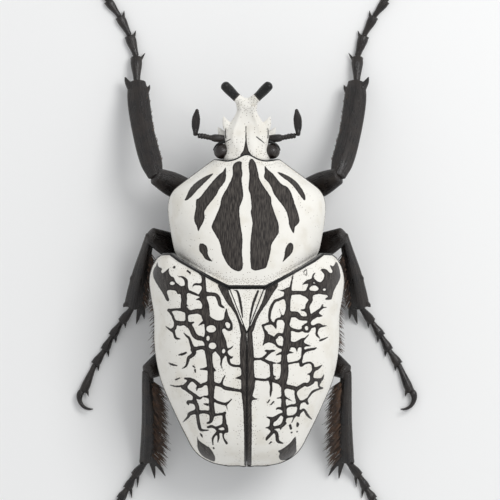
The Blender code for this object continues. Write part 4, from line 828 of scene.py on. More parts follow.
elytra_velvet = velvet("elytra_velvet", 0.52, 0.14)
for label, side, *drawn in (("left", 1.0, LEFT_STROKES, LEFT_PATCHES, LEFT_ISLANDS),
                            ("right", -1.0, RIGHT_STROKES, RIGHT_PATCHES, RIGHT_ISLANDS)):
    case = wing_case(label + "_wing_case", side, *drawn, elytra_velvet)
    settle(case, "white_shell", "elytron_" + label)


# Prothorax underside: the breast in front, black cuticle with a green sheen, coarsely
# pitted, with a blunt keel between the fore hips; it fits under the pronotum's edge.
PROTHORAX_REAR = -9.3
PROTHORAX_LOW = [(-29.9, 14.6), (-26.0, 9.6), (-21.0, 6.8), (-16.0, 6.2), (-12.0, 7.0), (-9.3, 8.4)]
BELLY_POWER = 1.45
BREAST_KEEL = 0.6
BREAST_SEAM = 0.35
HIP_HOLLOW = 0.5
GREEN_BLACK = (0.010, 0.013, 0.010, 1.0)
GREEN_BLOOM = (0.016, 0.030, 0.018, 1.0)
PIT_DARK = (0.02, 0.012, 0.008, 1.0)
COARSE_SPACING = 0.62
COARSE_RADIUS = 0.2
CUTICLE_ROUGHNESS = 0.22

# Bare polished cuticle with coarse pits and a faint green bloom
under_black, tree, shader = new_material("green_black_cuticle")
cloud = ramp(tree, noise(tree, millimetres(tree), 0.3, 4.0, 0.6), 0.35, 0.68)
density = read(tree, "pits")
pits = use(tree, PUNCTURES, Spacing=COARSE_SPACING, Radius=COARSE_RADIUS, Density=density)["Mask"]
colour = blend(tree, cloud, GREEN_BLACK, GREEN_BLOOM)
colour = blend(tree, sums(tree, "MULTIPLY", pits, 0.8), colour, PIT_DARK)
fine = noise(tree, millimetres(tree), 3.5, 4.0, 0.6)
rough = sums(tree, "MULTIPLY_ADD", fine, 0.16, CUTICLE_ROUGHNESS)
rough = sums(tree, "MULTIPLY_ADD", pits, 0.3, rough)
height = sums(tree, "MULTIPLY_ADD", pits, -1.6, sums(tree, "MULTIPLY", fine, 0.35))
fill(tree, shader, {"Base Color": colour, "Roughness": rough,
                    "Normal": bumps(tree, height, 0.08, 0.8),
                    "Coat Weight": 0.25, "Coat Roughness": 0.12})


def belly_piece(name, lower, height, top, material, pits):
    """Lower plate of the body: a sculpted underside closed by a level top."""
    upper = lower.copy()
    upper[..., 2] = top
    piece = plate(name, raised(lower, -height), upper, material)
    pits = np.broadcast_to(pits, lower.shape[:2])
    note_skin(piece, np.tile(plate_skin(lower), (2, 1)), pits=[pits, pits])
    return piece


v = np.linspace(0.0, 1.0, 100)[:, None]
y = PRONOTUM_FRONT + (PROTHORAX_REAR - PRONOTUM_FRONT) * v
half = curve(PRONOTUM_HALF, y) - 0.5
x = half * arch_shares(140, SHELL_POWER)[None, :]
top = rim(y) - GAP
breast_grid = grid_of(x, y, dome(x, half, top, curve(PROTHORAX_LOW, y), BELLY_POWER))
keel = BREAST_KEEL * bump(x, 1.5) * fade(y, -27.0, -20.0)
keel = keel - 0.5 * BREAST_KEEL * bump(np.abs(x) - 2.6, 0.6) * fade(y, -27.0, -22.0)
seam = -BREAST_SEAM * bump(np.abs(x) - 13.5 + 0.25 * (y + 20.0), 0.35)
hip_hollow = -HIP_HOLLOW * bump(np.hypot(np.abs(x) - 5.5, y + 20.4), 3.4)
height = keel + seam + hip_hollow + 0.2 * bump(y + 29.2, 0.4)
pits = 0.35 + 0.4 * fade(np.abs(x), 5.0, 11.0)
breast = belly_piece("prothorax_breast", breast_grid, height, top, under_black, pits)
settle(breast, "underside", "prothorax_underside")


# Thorax: the broad breast under the elytra, of the same black cuticle, with a groove
# down its midline, side plates set off by seams, and a blunt process that points
# forward between the mid hips.
THORAX_LOW = [(-9.0, 7.4), (-6.0, 5.4), (0.0, 4.8), (15.0, 4.8)]
# Rows of the breast from front to rear, as a station at the middle and one at the side
THORAX_STATIONS = [(-9.0, -9.0), (0.6, -6.4), (2.5, -3.4), (5.5, 1.0), (9.5, 6.0), (12.5, 11.0),
                   (15.0, 15.0)]
THORAX_FRONT_HALF = 14.5
THORAX_SEAM = 0.3
THORAX_KEEL = 0.7
FLANK_STEP = 0.9

t = np.linspace(0.0, len(THORAX_STATIONS) - 1.0, 110)[:, None]
order = np.arange(len(THORAX_STATIONS))
at_middle = np.interp(t, order, [middle for middle, side in THORAX_STATIONS])
at_side = np.interp(t, order, [side for middle, side in THORAX_STATIONS])
wing_half = curve(ELYTRA_HALF, at_side)
half = THORAX_FRONT_HALF + (wing_half - FLANK_STEP - THORAX_FRONT_HALF) * np.minimum(1.0, t)
share = arch_shares(150, SHELL_POWER)[None, :]
x = half * share
front_half = wing_half - SHELL_THICK - 0.45
forward = front_share(np.abs(share) * front_half * SHOULDER_HALF / wing_half)
y = at_middle + (at_side - at_middle) * forward
edge = rim(y) - GAP
chest_grid = grid_of(x, y, dome(x, half, edge, curve(THORAX_LOW, y), BELLY_POWER))
height = -THORAX_SEAM * bump(x, 0.28) * fade(y, -6.0, -2.0)
height += THORAX_KEEL * bump(x, 2.0) * fade(y, 0.0, -6.5)
side_seam = bump(np.abs(x) - 12.5 - 0.12 * y, 0.35)
cross_seam = bump(y - 3.6 + 0.22 * np.abs(x), 0.3) * fade(np.abs(x), 7.0, 9.0)
height -= THORAX_SEAM * (side_seam + cross_seam)
mid_hollow = np.hypot(np.abs(x) - 5.5, y + 4.6)
hind_hollow = np.hypot(np.abs(x) - 6.0, y - 12.8)
height -= HIP_HOLLOW * (bump(mid_hollow, 3.2) + bump(hind_hollow, 3.0))
pits = 0.12 + 0.5 * fade(np.abs(x), 6.0, 12.0)
chest = belly_piece("thorax_breast", chest_grid, height, edge, under_black, pits)
settle(chest, "underside", "thorax")

# Front wall, which closes the hollow behind the elytra's front edge
WALL_SIDE = -5.8
WALL_MIDDLE = 1.06
WALL_THICK = 0.9
WALL_CLEAR = 0.1
WALL_PITS = 0.6

wall_half = curve(ELYTRA_HALF, np.array([WALL_SIDE]))[0]
share = arch_shares(120, SHELL_POWER)[None, :]
rise = np.linspace(0.0, 1.0, 50)[:, None]
x = (wall_half - SHELL_THICK - WALL_CLEAR) * share
y = WALL_MIDDLE + (WALL_SIDE - WALL_MIDDLE) * front_share(np.abs(share) * SHOULDER_HALF)
foot = rim(y) - GAP - 0.3
high = curve(ELYTRA_TOP, np.array([WALL_MIDDLE]))[0] - SHELL_THICK - WALL_CLEAR
arch = dome(x, wall_half - SHELL_THICK - WALL_CLEAR, foot + 0.4, high, SHELL_POWER)
z = foot + (arch - foot) * rise
grid = grid_of(x, y - 0.4 * np.sin(math.pi * rise), z)
seams = 0.35 * bump(np.abs(x) - 13.2 - 0.15 * (z - foot), 0.3)
seams = seams + 0.3 * bump(np.abs(x) - 17.4, 0.25)
outer = grid + np.array((0.0, 1.0, 0.0)) * seams[..., None]
front_wall = plate("thorax_front", outer, grid + (0.0, WALL_THICK, 0.0), under_black)
note_skin(front_wall, np.tile(plate_skin(outer), (2, 1)), pits=WALL_PITS)
settle(front_wall, "underside", "thorax")


# Abdomen: five overlapping belly rings of the same black cuticle, smooth in the middle
# and pitted at the sides, that draw together towards the slanting tail.
ABDOMEN_LOW = [(15.0, 4.8), (22.0, 4.8), (29.0, 5.5), (36.0, 7.4), (40.4, 9.8)]
ABDOMEN_REAR = 40.4
TAIL_PULL = 3.8
TAIL_PULL_FROM = 28.0
RING_EDGES = [14.8, 20.2, 25.0, 29.6, 34.0, 40.4]
RING_STEP = 0.45


def tail_pull(station):
    """How far the belly's midline ends before the back, which makes the tail slant."""
    share = np.maximum(0.0, station - TAIL_PULL_FROM) / (ABDOMEN_REAR - TAIL_PULL_FROM)
    return TAIL_PULL * share * share


station = np.linspace(RING_EDGES[0], ABDOMEN_REAR, 150)[:, None]
share = arch_shares(130, SHELL_POWER)[None, :]
half = curve(ELYTRA_HALF, station) - FLANK_STEP
edge = rim(station) - GAP
x = half * share
y = station - tail_pull(station) * (1.0 - share * share)
belly_grid = grid_of(x, y, dome(x, half, edge, curve(ABDOMEN_LOW, station), BELLY_POWER))
height = np.zeros_like(y)
for start, end in zip(RING_EDGES, RING_EDGES[1:]):
    inside = (station >= start) & (station <= end)
    height += np.where(inside, RING_STEP * (station - start) / (end - start) - 0.2, 0.0)
height -= 0.25 * bump(np.abs(share) - 0.9, 0.03)
pits = 0.1 + 0.55 * fade(np.abs(share), 0.45, 0.8)
rings = belly_piece("belly_rings", belly_grid, height, edge, under_black, pits)
settle(rings, "underside", "abdomen")


# Pygidium: the last plate of the back, a low shield of black cuticle that closes the
# tail under the tips of the elytra.
PYGIDIUM_HALF = 7.3
TAIL_SHIELD_TOP = 17.6
TAIL_SHIELD_THICK = 0.6
TAIL_SHIELD_PITS = 0.6
TAIL_BULGE = 1.9
OUTWARD = np.array((0.0, 0.86, -0.51))

share = np.linspace(-1.0, 1.0, 100)[None, :]
fall = np.linspace(0.0, 1.0, 70)[:, None]
x = PYGIDIUM_HALF * share
edge = rim(ABDOMEN_REAR) - GAP
rear_half = curve(ELYTRA_HALF, ABDOMEN_REAR) - FLANK_STEP
top = dome(x, rear_half, edge, TAIL_SHIELD_TOP, SHELL_POWER)
low = dome(x, rear_half, edge, ABDOMEN_LOW[-1][1], BELLY_POWER) + 0.1
z = top + (low - top) * fall
y = ABDOMEN_REAR - TAIL_PULL * (1.0 - (x / rear_half) ** 2) * fall
wall = grid_of(x, y, z)
down_share = np.sin(math.pi * (0.06 + 0.94 * fall)) ** 0.6
bulge = TAIL_BULGE * (1.0 - share ** 4) ** 0.6 * down_share - 0.25
tail_grid = wall + OUTWARD * bulge[..., None]
shield = plate("tail_shield", tail_grid, wall - OUTWARD * TAIL_SHIELD_THICK, under_black)
note_skin(shield, np.tile(plate_skin(tail_grid), (2, 1)), pits=TAIL_SHIELD_PITS)
settle(shield, "underside", "pygidium")


# Head: one hard capsule, flat on top and white with black seams, drawn out forward
# into the clypeus with two pairs of side lobes, a groove and a keel along its top.
HEAD_REAR = -30.2
HEAD_FRONT = -42.4
HEAD_HALF = [(-42.4, 2.5), (-41.4, 2.3), (-40.2, 2.75), (-39.2, 3.4), (-38.2, 4.0), (-37.0, 4.8),
             (-35.6, 5.2), (-34.0, 5.05), (-32.0, 4.95), (-30.2, 5.5)]
HEAD_TOP = [(-42.4, 24.6), (-40.5, 23.7), (-38.0, 23.2), (-34.0, 23.7), (-30.2, 24.2)]
HEAD_LOW = [(-42.4, 22.2), (-40.5, 20.8), (-38.0, 18.6), (-34.0, 16.6), (-30.2, 15.4)]
HEAD_LOBES = [((3.5, -36.4, 21.0), (5.5, -39.9, 21.6), 2.5, 1.5),
              ((4.2, -34.4, 19.2), (6.75, -37.4, 19.4), 2.6, 1.3)]
LOBE_PROFILE = [(0.0, 0.54, 0.5), (0.4, 0.46, 0.42), (0.72, 0.27, 0.26), (0.9, 0.14, 0.15),
                (1.0, 0.05, 0.06)]
LOBE_BOW = np.array((0.2, 0.15, 0.0))
CHIN = [(0.0, -31.0, 16.2), (0.0, -35.0, 17.0), (0.0, -38.6, 18.6)]
CHIN_HALF = [(0.0, 3.0, 0.9), (0.5, 2.7, 0.8), (1.0, 1.5, 0.6)]
JAW = [(1.5, -37.0, 18.2), (1.9, -39.4, 19.2), (1.3, -40.8, 20.2)]
JAW_HALF = [(0.0, 0.9, 0.7), (0.6, 0.7, 0.55), (1.0, 0.4, 0.4)]
CHEEK_RIDGE = 0.35
FACE_HOLLOW = 0.3
FACE_GROOVE = 0.25
CROWN_SWELL = 0.3
HEAD_GRAIN = 0.12
NECK = 1.4
# Black seams as strokes of (x, y, half width); the lines are drawn on both sides
HEAD_SEAMS = [
    [(0.2, -37.6, 0.1), (0.2, -36.0, 0.12), (0.2, -34.0, 0.2), (0.2, -32.6, 0.45), (0.2, -31.4, 0.8),
     (0.2, -30.2, 1.5)],
    [(4.9, -34.0, 0.1), (3.8, -34.6, 0.1)],
    [(-2.3, -35.1, 0.12), (-4.0, -33.8, 0.12)],
]
HEAD_LINES = [[(4.9, -37.2, 0.08), (5.0, -36.0, 0.13), (4.9, -34.9, 0.13)]]


def rings_solid(rings, first, last):
    """Closed solid through rings of points, each end closed on its pole."""
    count, around = rings.shape[:2]
    index = np.arange(count * around).reshape(count, around)
    ahead = np.roll(index, -1, axis=1)
    faces = np.stack([index[:-1], ahead[:-1], ahead[1:], index[1:]], axis=2).reshape(-1, 4).tolist()
    pole = count * around
    faces += [[ahead[0, k], index[0, k], pole] for k in range(around)]
    faces += [[index[-1, k], ahead[-1, k], pole + 1] for k in range(around)]
    return np.concatenate([rings.reshape(-1, 3), [first, last]]), faces


def unit(vectors):
    """The same directions, each one long."""
    return vectors / np.linalg.norm(vectors, axis=-1, keepdims=True)


def part_way(start, end, share):
    """Point at a share of the way from a start to an end."""
    return start + share * (end - start)


def sized(profile, wide, tall):
    """Half sizes of a solid along it, from a profile of their shares."""
    return [(at, side * wide, upright * tall) for at, side, upright in profile]


def path_frame(path, stations):
    """Points along a smooth path with its run, side and upright directions at each."""
    path = np.asarray(path, float)
    length = walked(path, 0)
    at = stations * length[-1]
    centre = np.stack([curve(np.stack([length, line], axis=1), at) for line in path.T], axis=1)
    run = unit(np.gradient(centre, axis=0))
    side = unit(np.cross(run, (0.0, 0.0, 1.0)))
    return centre, run, side, np.cross(side, run)


def tube(path, halves, stations, around, blunt=(0.3, 0.3), ribs=(4, 0.0)):
    """Round-ended solid along a path; halves are (share, side, upright) half sizes."""
    shares = np.linspace(0.0, 1.0, stations)
    centre, run, side, over = path_frame(path, shares)
    wide = curve([(at, half) for at, half, tall in halves], shares)
    tall = curve([(at, tall) for at, half, tall in halves], shares)
    angle = np.linspace(0.0, 2.0 * math.pi, around, endpoint=False)
    swell = 1.0 + ribs[1] * np.cos(ribs[0] * angle)
    hoop = side[:, None] * (np.cos(angle) * swell)[None, :, None] * wide[:, None, None]
    hoop = hoop + over[:, None] * (np.sin(angle) * swell)[None, :, None] * tall[:, None, None]
    turn = np.array((0.25, 0.6, 0.95, 1.25))[:, None, None]
    front = centre[0] - run[0] * blunt[0] * np.cos(turn) + hoop[0] * np.sin(turn)
    rear = centre[-1] + run[-1] * blunt[1] * np.cos(turn[::-1]) + hoop[-1] * np.sin(turn[::-1])
    rings = np.concatenate([front, centre[:, None] + hoop, rear])
    return rings_solid(rings, centre[0] - run[0] * blunt[0], centre[-1] + run[-1] * blunt[1])


def mirrored(solids):
    """The same solids on the other side of the body."""
    return [(points * (-1.0, 1.0, 1.0), [face[::-1] for face in faces]) for points, faces in solids]


def per_point(mesh, key):
    """What a mesh holds for each of its points under a key, three numbers each."""
    flat = np.empty(len(mesh.vertices) * 3, np.float32)
    mesh.vertices.foreach_get(key, flat)
    return flat.reshape(-1, 3)


def cast(name, solids, grain, rounds, material):
    """Overlapping solids melted into one skin with a grain in mm, then eased smooth."""
    points, faces, start = [], [], 0
    for solid_points, solid_faces in solids:
        points.append(solid_points)
        faces += [[corner + start for corner in face] for face in solid_faces]
        start += len(solid_points)
    raw = bpy.data.meshes.new(name)
    raw.from_pydata(np.concatenate(points), [], faces)
    piece = bpy.data.objects.new(name, raw)
    bpy.context.scene.collection.objects.link(piece)
    melt = piece.modifiers.new("melt", "REMESH")
    melt.mode = "VOXEL"
    melt.voxel_size = grain
    ease = piece.modifiers.new("ease", "SMOOTH")
    ease.iterations = rounds
    graph = bpy.context.evaluated_depsgraph_get()
    skin = bpy.data.meshes.new_from_object(piece.evaluated_get(graph))
    piece.modifiers.clear()
    piece.data = skin
    points = per_point(skin, "co")
    points[:, 2] = np.maximum(points[:, 2], 0.0)
    skin.vertices.foreach_set("co", points.ravel())
    bpy.data.meshes.remove(raw)
    skin.name = name
    skin.transform(Matrix.Translation((0.0, hind_edge, 0.0)) @ Matrix.Scale(MM, 4))
    skin.shade_smooth()
    skin.materials.clear()
    skin.materials.append(material)
    return piece


def points_of(piece):
    """Points of a piece in millimetres."""
    return (per_point(piece.data, "co") - (0.0, hind_edge, 0.0)) / MM


def head_capsule():
    """Rings of the head with its keels, groove and hollow brow."""
    y = np.linspace(HEAD_REAR + NECK, HEAD_FRONT, 76)[:, None]
    angle = np.linspace(0.0, 2.0 * math.pi, 72, endpoint=False)[None, :]
    tuck = 0.5 * fade(y, HEAD_REAR, HEAD_REAR + NECK)
    half = curve(HEAD_HALF, y) - tuck
    high, low = curve(HEAD_TOP, y) - tuck, curve(HEAD_LOW, y) + tuck
    x = half * np.sign(np.cos(angle)) * np.abs(np.cos(angle)) ** 0.8
    rise = np.sign(np.sin(angle)) * np.abs(np.sin(angle)) ** 0.85
    z = 0.5 * (high + low) + 0.5 * (high - low) * rise
    upper = fade(rise, 0.3, 0.9)
    z = z + upper * CHEEK_RIDGE * bump(np.abs(x) - 0.62 * half, 0.5) * fade(y, -32.0, -35.0)
    z = z - upper * FACE_HOLLOW * bump(x, 1.7) * fade(y, -34.0, -37.0) * fade(y, -42.2, -40.0)
    z = z - upper * FACE_GROOVE * bump(x, 0.3) * fade(y, -38.0, -36.5)
    z = z + upper * CROWN_SWELL * bump(np.abs(x) - 1.6, 1.0) * bump(y + 32.5, 1.6)
    rings = grid_of(x, y, z)
    return rings_solid(rings, rings[0].mean(axis=0), rings[-1].mean(axis=0))


lobes = []
for root, tip, width, thick in HEAD_LOBES:
    root, tip = np.array(root), np.array(tip)
    path = [root, part_way(root, tip, 0.5) + LOBE_BOW, tip]
    lobes.append(tube(path, sized(LOBE_PROFILE, width, thick), 30, 20, (0.2, 0.15)))
chin = tube(CHIN, CHIN_HALF, 24, 20, (0.4, 0.5))
jaw = tube(JAW, JAW_HALF, 20, 14)
white_head = velvet("head_velvet", 0.46, 0.15)
solids = [head_capsule()] + lobes + mirrored(lobes) + [chin, jaw] + mirrored([jaw])
capsule = cast("head_capsule", solids, HEAD_GRAIN, 6, white_head)
points = points_of(capsule)
flat = points[:, :2]
mirror = flat * (-1.0, 1.0)
low_edge = curve(HEAD_LOW, points[:, 1]) + 0.5
below = np.maximum(-per_point(capsule.data, "normal")[:, 2] - 0.15, low_edge - points[:, 2])
lines = [stroke_depth(side, line) for line in HEAD_LINES for side in (flat, mirror)]
depth = np.maximum.reduce([stroke_depth(flat, seam) for seam in HEAD_SEAMS] + lines)
depth = np.maximum(depth, below)
pits = 0.1 + 0.55 * fade(points[:, 1], -40.0, -41.5) + 0.5 * fade(points[:, 1], -32.6, -31.0)
pits += 0.4 * bump(np.hypot(np.abs(points[:, 0]) - 4.2, points[:, 1] + 33.0), 1.3)
note_skin(capsule, points, mark=depth, pits=pits, bare=below - 0.2)
settle(capsule, "white_shell", "head")


# Eyes: dark faceted balls let into the sides of the head behind the antennae, each
# half crossed from the front by a thin black bar of the cheek.
EYE_CENTRE = (5.85, -31.75, 20.2)
EYE_RADII = (1.9, 1.8, 2.1)
EYE_SEAM = (0.003, 0.002, 0.0015, 1.0)
EYE_BROWN = (0.022, 0.011, 0.008, 1.0)
FACETS_PER_MM = 9.0
CHEEK_BAR = [(4.9, -34.2, 20.5), (6.35, -33.65, 20.5), (7.3, -32.9, 20.4), (7.72, -32.1, 20.3)]
CHEEK_BAR_HALF = [(0.0, 0.45, 0.36), (0.6, 0.32, 0.25), (1.0, 0.2, 0.17)]
CHEEK_GRAIN = 0.084

facets, tree, shader = new_material("faceted_eye")
inputs = {"Vector": millimetres(tree), "Scale": FACETS_PER_MM}
cells = wire(tree, "ShaderNodeTexVoronoi", inputs, feature="DISTANCE_TO_EDGE")
lens = ramp(tree, cells.outputs["Distance"], 0.0, 0.3)
fill(tree, shader, {"Base Color": blend(tree, lens, EYE_SEAM, EYE_BROWN),
                    "Roughness": ramp(tree, lens, 0.0, 1.0, 0.34, 0.12),
                    "Normal": bumps(tree, lens, 0.03, 0.5),
                    "Coat Weight": 0.3, "Coat Roughness": 0.05})

turn = np.linspace(0.03, math.pi - 0.03, 48)[:, None]
angle = np.linspace(0.0, 2.0 * math.pi, 64, endpoint=False)[None, :]
ball = grid_of(np.cos(turn), np.sin(turn) * np.cos(angle), np.sin(turn) * np.sin(angle))
ball = ball * EYE_RADII + EYE_CENTRE
pole = (EYE_RADII[0], 0.0, 0.0)
ball = rings_solid(ball, np.add(EYE_CENTRE, pole), np.subtract(EYE_CENTRE, pole))
bar = tube(CHEEK_BAR, CHEEK_BAR_HALF, 24, 16, (0.1, 0.2))
for label, solid in (("left", ball), ("right", *mirrored([ball]))):
    settle(new_piece("eye_ball_" + label, *solid, facets), "eyes", "eye_" + label)
for label, solids in (("left", [bar]), ("right", mirrored([bar]))):
    piece = cast("cheek_bar_" + label, solids, CHEEK_GRAIN, 2, white_head)
    note_skin(piece, points_of(piece), mark=1.0, bare=1.0, pits=0.2)
    settle(piece, "black_shell", "eye_" + label)


# Horn: the Y-shaped fork at the front of the head, solid cuticle that turns from
# stippled white at its root to polished black on both round-ended arms.
HORN_GRAIN = 0.1
HORN_STEM = [(0.0, -41.9, 23.3), (0.0, -43.1, 23.4), (0.0, -43.75, 23.7)]
HORN_STEM_HALF = [(0.0, 2.38, 1.1), (0.5, 2.55, 1.22), (0.8, 2.6, 1.15), (1.0, 2.1, 1.0)]
HORN_ARM = [(0.95, -43.15, 23.6), (2.4, -44.35, 24.3), (3.75, -45.7, 25.15), (5.05, -47.0, 26.1)]
HORN_ARM_HALF = [(0.0, 1.15, 1.1), (0.4, 1.08, 1.02), (0.75, 1.2, 1.1), (1.0, 1.16, 1.0)]
HORN_BLACK_FROM = 1.95

arm = tube(HORN_ARM, HORN_ARM_HALF, 40, 24, (0.2, 0.9))
stem = tube(HORN_STEM, HORN_STEM_HALF, 30, 36, (0.1, 0.4))
stippled = velvet("horn_velvet", 0.4, 0.14)
fork = cast("horn_fork", [stem, arm] + mirrored([arm]), HORN_GRAIN, 14, stippled)
points = points_of(fork)
beyond = 0.75 * np.abs(points[:, 0]) - 0.66 * (points[:, 1] + 43.9) - HORN_BLACK_FROM
pits = 0.35 + 0.5 * fade(np.abs(points[:, 0]), 0.8, 2.2)
note_skin(fork, points, mark=beyond, bare=beyond - 0.35, pits=pits)
settle(fork, "white_shell", "horn")


# Antennae and palps: jointed black feelers. A stout first joint and five bead-like
# ones carry the club of three thin leaves; the palps hang from the mouth.
STEM = [(4.6, -34.7, 19.8), (6.2, -34.8, 20.0), (8.6, -35.0, 20.3), (10.0, -35.3, 20.4),
        (11.4, -35.45, 20.4)]
STEM_BEADS = [(0.0, 0.52, 0.92), (0.5, 0.61, 0.62), (0.6, 0.71, 0.64), (0.7, 0.81, 0.66),
              (0.8, 0.91, 0.67), (0.9, 1.0, 0.62)]
JOINT_PROFILE = [(0.0, 0.72, 0.72), (0.35, 0.95, 0.95), (0.8, 1.0, 1.0), (1.0, 0.82, 0.82)]
CLUB_ROOT = (12.0, -35.9, 20.4)
CLUB_TIP = (11.6, -41.7, 20.8)
CLUB_HALF = 0.95
LEAF_STEP = 0.62
LEAF_HALF = 0.24
LEAF_BOW = 0.12
LEAF_PROFILE = [(0.0, 0.5, 1.0), (0.3, 0.95, 1.0), (0.7, 1.0, 1.0), (1.0, 0.5, 0.8)]
KNOT_HALF = [(0.0, 0.5, 0.7), (0.5, 0.6, 1.0), (1.0, 0.45, 0.9)]
PALP = [(2.4, -35.6, 17.4), (2.9, -36.8, 16.6), (3.0, -37.9, 16.4), (2.8, -38.9, 16.7)]
PALP_JOINTS = [(0.0, 0.3, 0.42), (0.28, 0.6, 0.5), (0.58, 1.0, 0.46)]
FEELER_GRAIN = 0.07
LIMB_BLACK = (0.006, 0.005, 0.005, 1.0)
LIMB_BROWN = (0.024, 0.017, 0.013, 1.0)
LIMB_ROUGHNESS = 0.2
GROOVE_STRETCH = (0.22, 3.4, 3.4)

# Polished black cuticle with fine lengthwise grooves that follow the limb
limb_black, tree, shader = new_material("black_limb")
drawn = {0: read(tree, "limb", "Vector"), 1: GROOVE_STRETCH}
drawn = wire(tree, "ShaderNodeVectorMath", drawn, operation="MULTIPLY").outputs[0]
striae = ramp(tree, noise(tree, drawn, 1.0, 3.0, 0.6), 0.36, 0.64)
cloud = ramp(tree, noise(tree, millimetres(tree), 0.35, 3.0), 0.35, 0.7)
pits = wire(tree, "ShaderNodeTexVoronoi", {"Vector": millimetres(tree), "Scale": 1.5})
pits = ramp(tree, pits.outputs["Distance"], 0.34, 0.12)
colour = blend(tree, sums(tree, "MULTIPLY", cloud, 0.6), LIMB_BLACK, LIMB_BROWN)
colour = blend(tree, sums(tree, "MULTIPLY", striae, 0.35), colour, LIMB_BROWN)
rough = sums(tree, "MULTIPLY_ADD", striae, 0.16, LIMB_ROUGHNESS)
rough = sums(tree, "MULTIPLY_ADD", cloud, 0.08, rough)
height = sums(tree, "MULTIPLY_ADD", pits, -0.7, striae)
fill(tree, shader, {"Base Color": colour, "Roughness": rough,
                    "Normal": bumps(tree, height, 0.07, 0.7), "Specular IOR Level": 0.42,
                    "Coat Weight": 0.12, "Coat Roughness": 0.08})


def note_limb(piece, path):
    """Store each point's place in the limb's own frame: along it, aside and above."""
    centre, run, side, over = path_frame(path, np.linspace(0.0, 1.0, 80))
    points = points_of(piece)
    nearest = np.argmin(((points[:, None] - centre[None]) ** 2).sum(axis=2), axis=1)
    reach = points - centre[nearest]
    along = walked(centre, 0)[nearest] + (reach * run[nearest]).sum(axis=1)
    aside = (reach * side[nearest]).sum(axis=1)
    above = (reach * over[nearest]).sum(axis=1)
    note_place(piece, "limb", np.stack([along, aside, above], axis=1))


def limb_pair(name, node, solids, grain, rounds, path):
    """Piece of a left limb with its grooves along a path, and its mirrored twin on the right."""
    piece = cast(name + "_left", solids, grain, rounds, limb_black)
    note_limb(piece, path)
    twin = bpy.data.objects.new(name + "_right", piece.data.copy())
    twin.data.transform(Matrix.Scale(-1.0, 4, (1.0, 0.0, 0.0)))
    twin.data.flip_normals()
    bpy.context.scene.collection.objects.link(twin)
    settle(piece, "black_shell", node + "_left")
    settle(twin, "black_shell", node + "_right")


def joints(path, spans):
    """Row of bead-like joints along a path, each a little wider towards its end."""
    path = np.asarray(path, float)
    solids = []
    for start, end, half in spans:
        centre = path_frame(path, np.linspace(start, end, 5))[0]
        solids.append(tube(centre, sized(JOINT_PROFILE, half, half), 16, 18, (0.12, 0.12)))
    return solids


limb_pair("antenna_stem", "antenna", joints(STEM, STEM_BEADS), FEELER_GRAIN, 3, STEM)

leaves = []
root, tip = np.array(CLUB_ROOT), np.array(CLUB_TIP)
for level in (-LEAF_STEP, 0.0, LEAF_STEP):
    path = []
    for share in (0.0, 0.3, 0.6, 0.9):
        aside = (LEAF_BOW * math.sin(math.pi * share), 0.0, level * (0.75 + 0.3 * share))
        path.append(part_way(root, tip, share) + aside)
    leaves.append(tube(path, sized(LEAF_PROFILE, CLUB_HALF, LEAF_HALF), 30, 20, (0.1, 0.6)))
knot = tube([root + (0.0, 0.35, 0.0), root + (0.0, -0.9, 0.0)], KNOT_HALF, 16, 18, (0.2, 0.2))
limb_pair("antenna_leaves", "antenna_club", leaves + [knot], FEELER_GRAIN, 2, [CLUB_ROOT, CLUB_TIP])
limb_pair("mouth_feeler", "palp", joints(PALP, PALP_JOINTS), FEELER_GRAIN, 3, PALP)


# Legs: six of polished black cuticle, each jointed from a barrel-shaped hip, a stout
# thigh, a shin with teeth on its edges and spurs at its end, a foot of five joints with
# a spine on each, and a pair of claws.

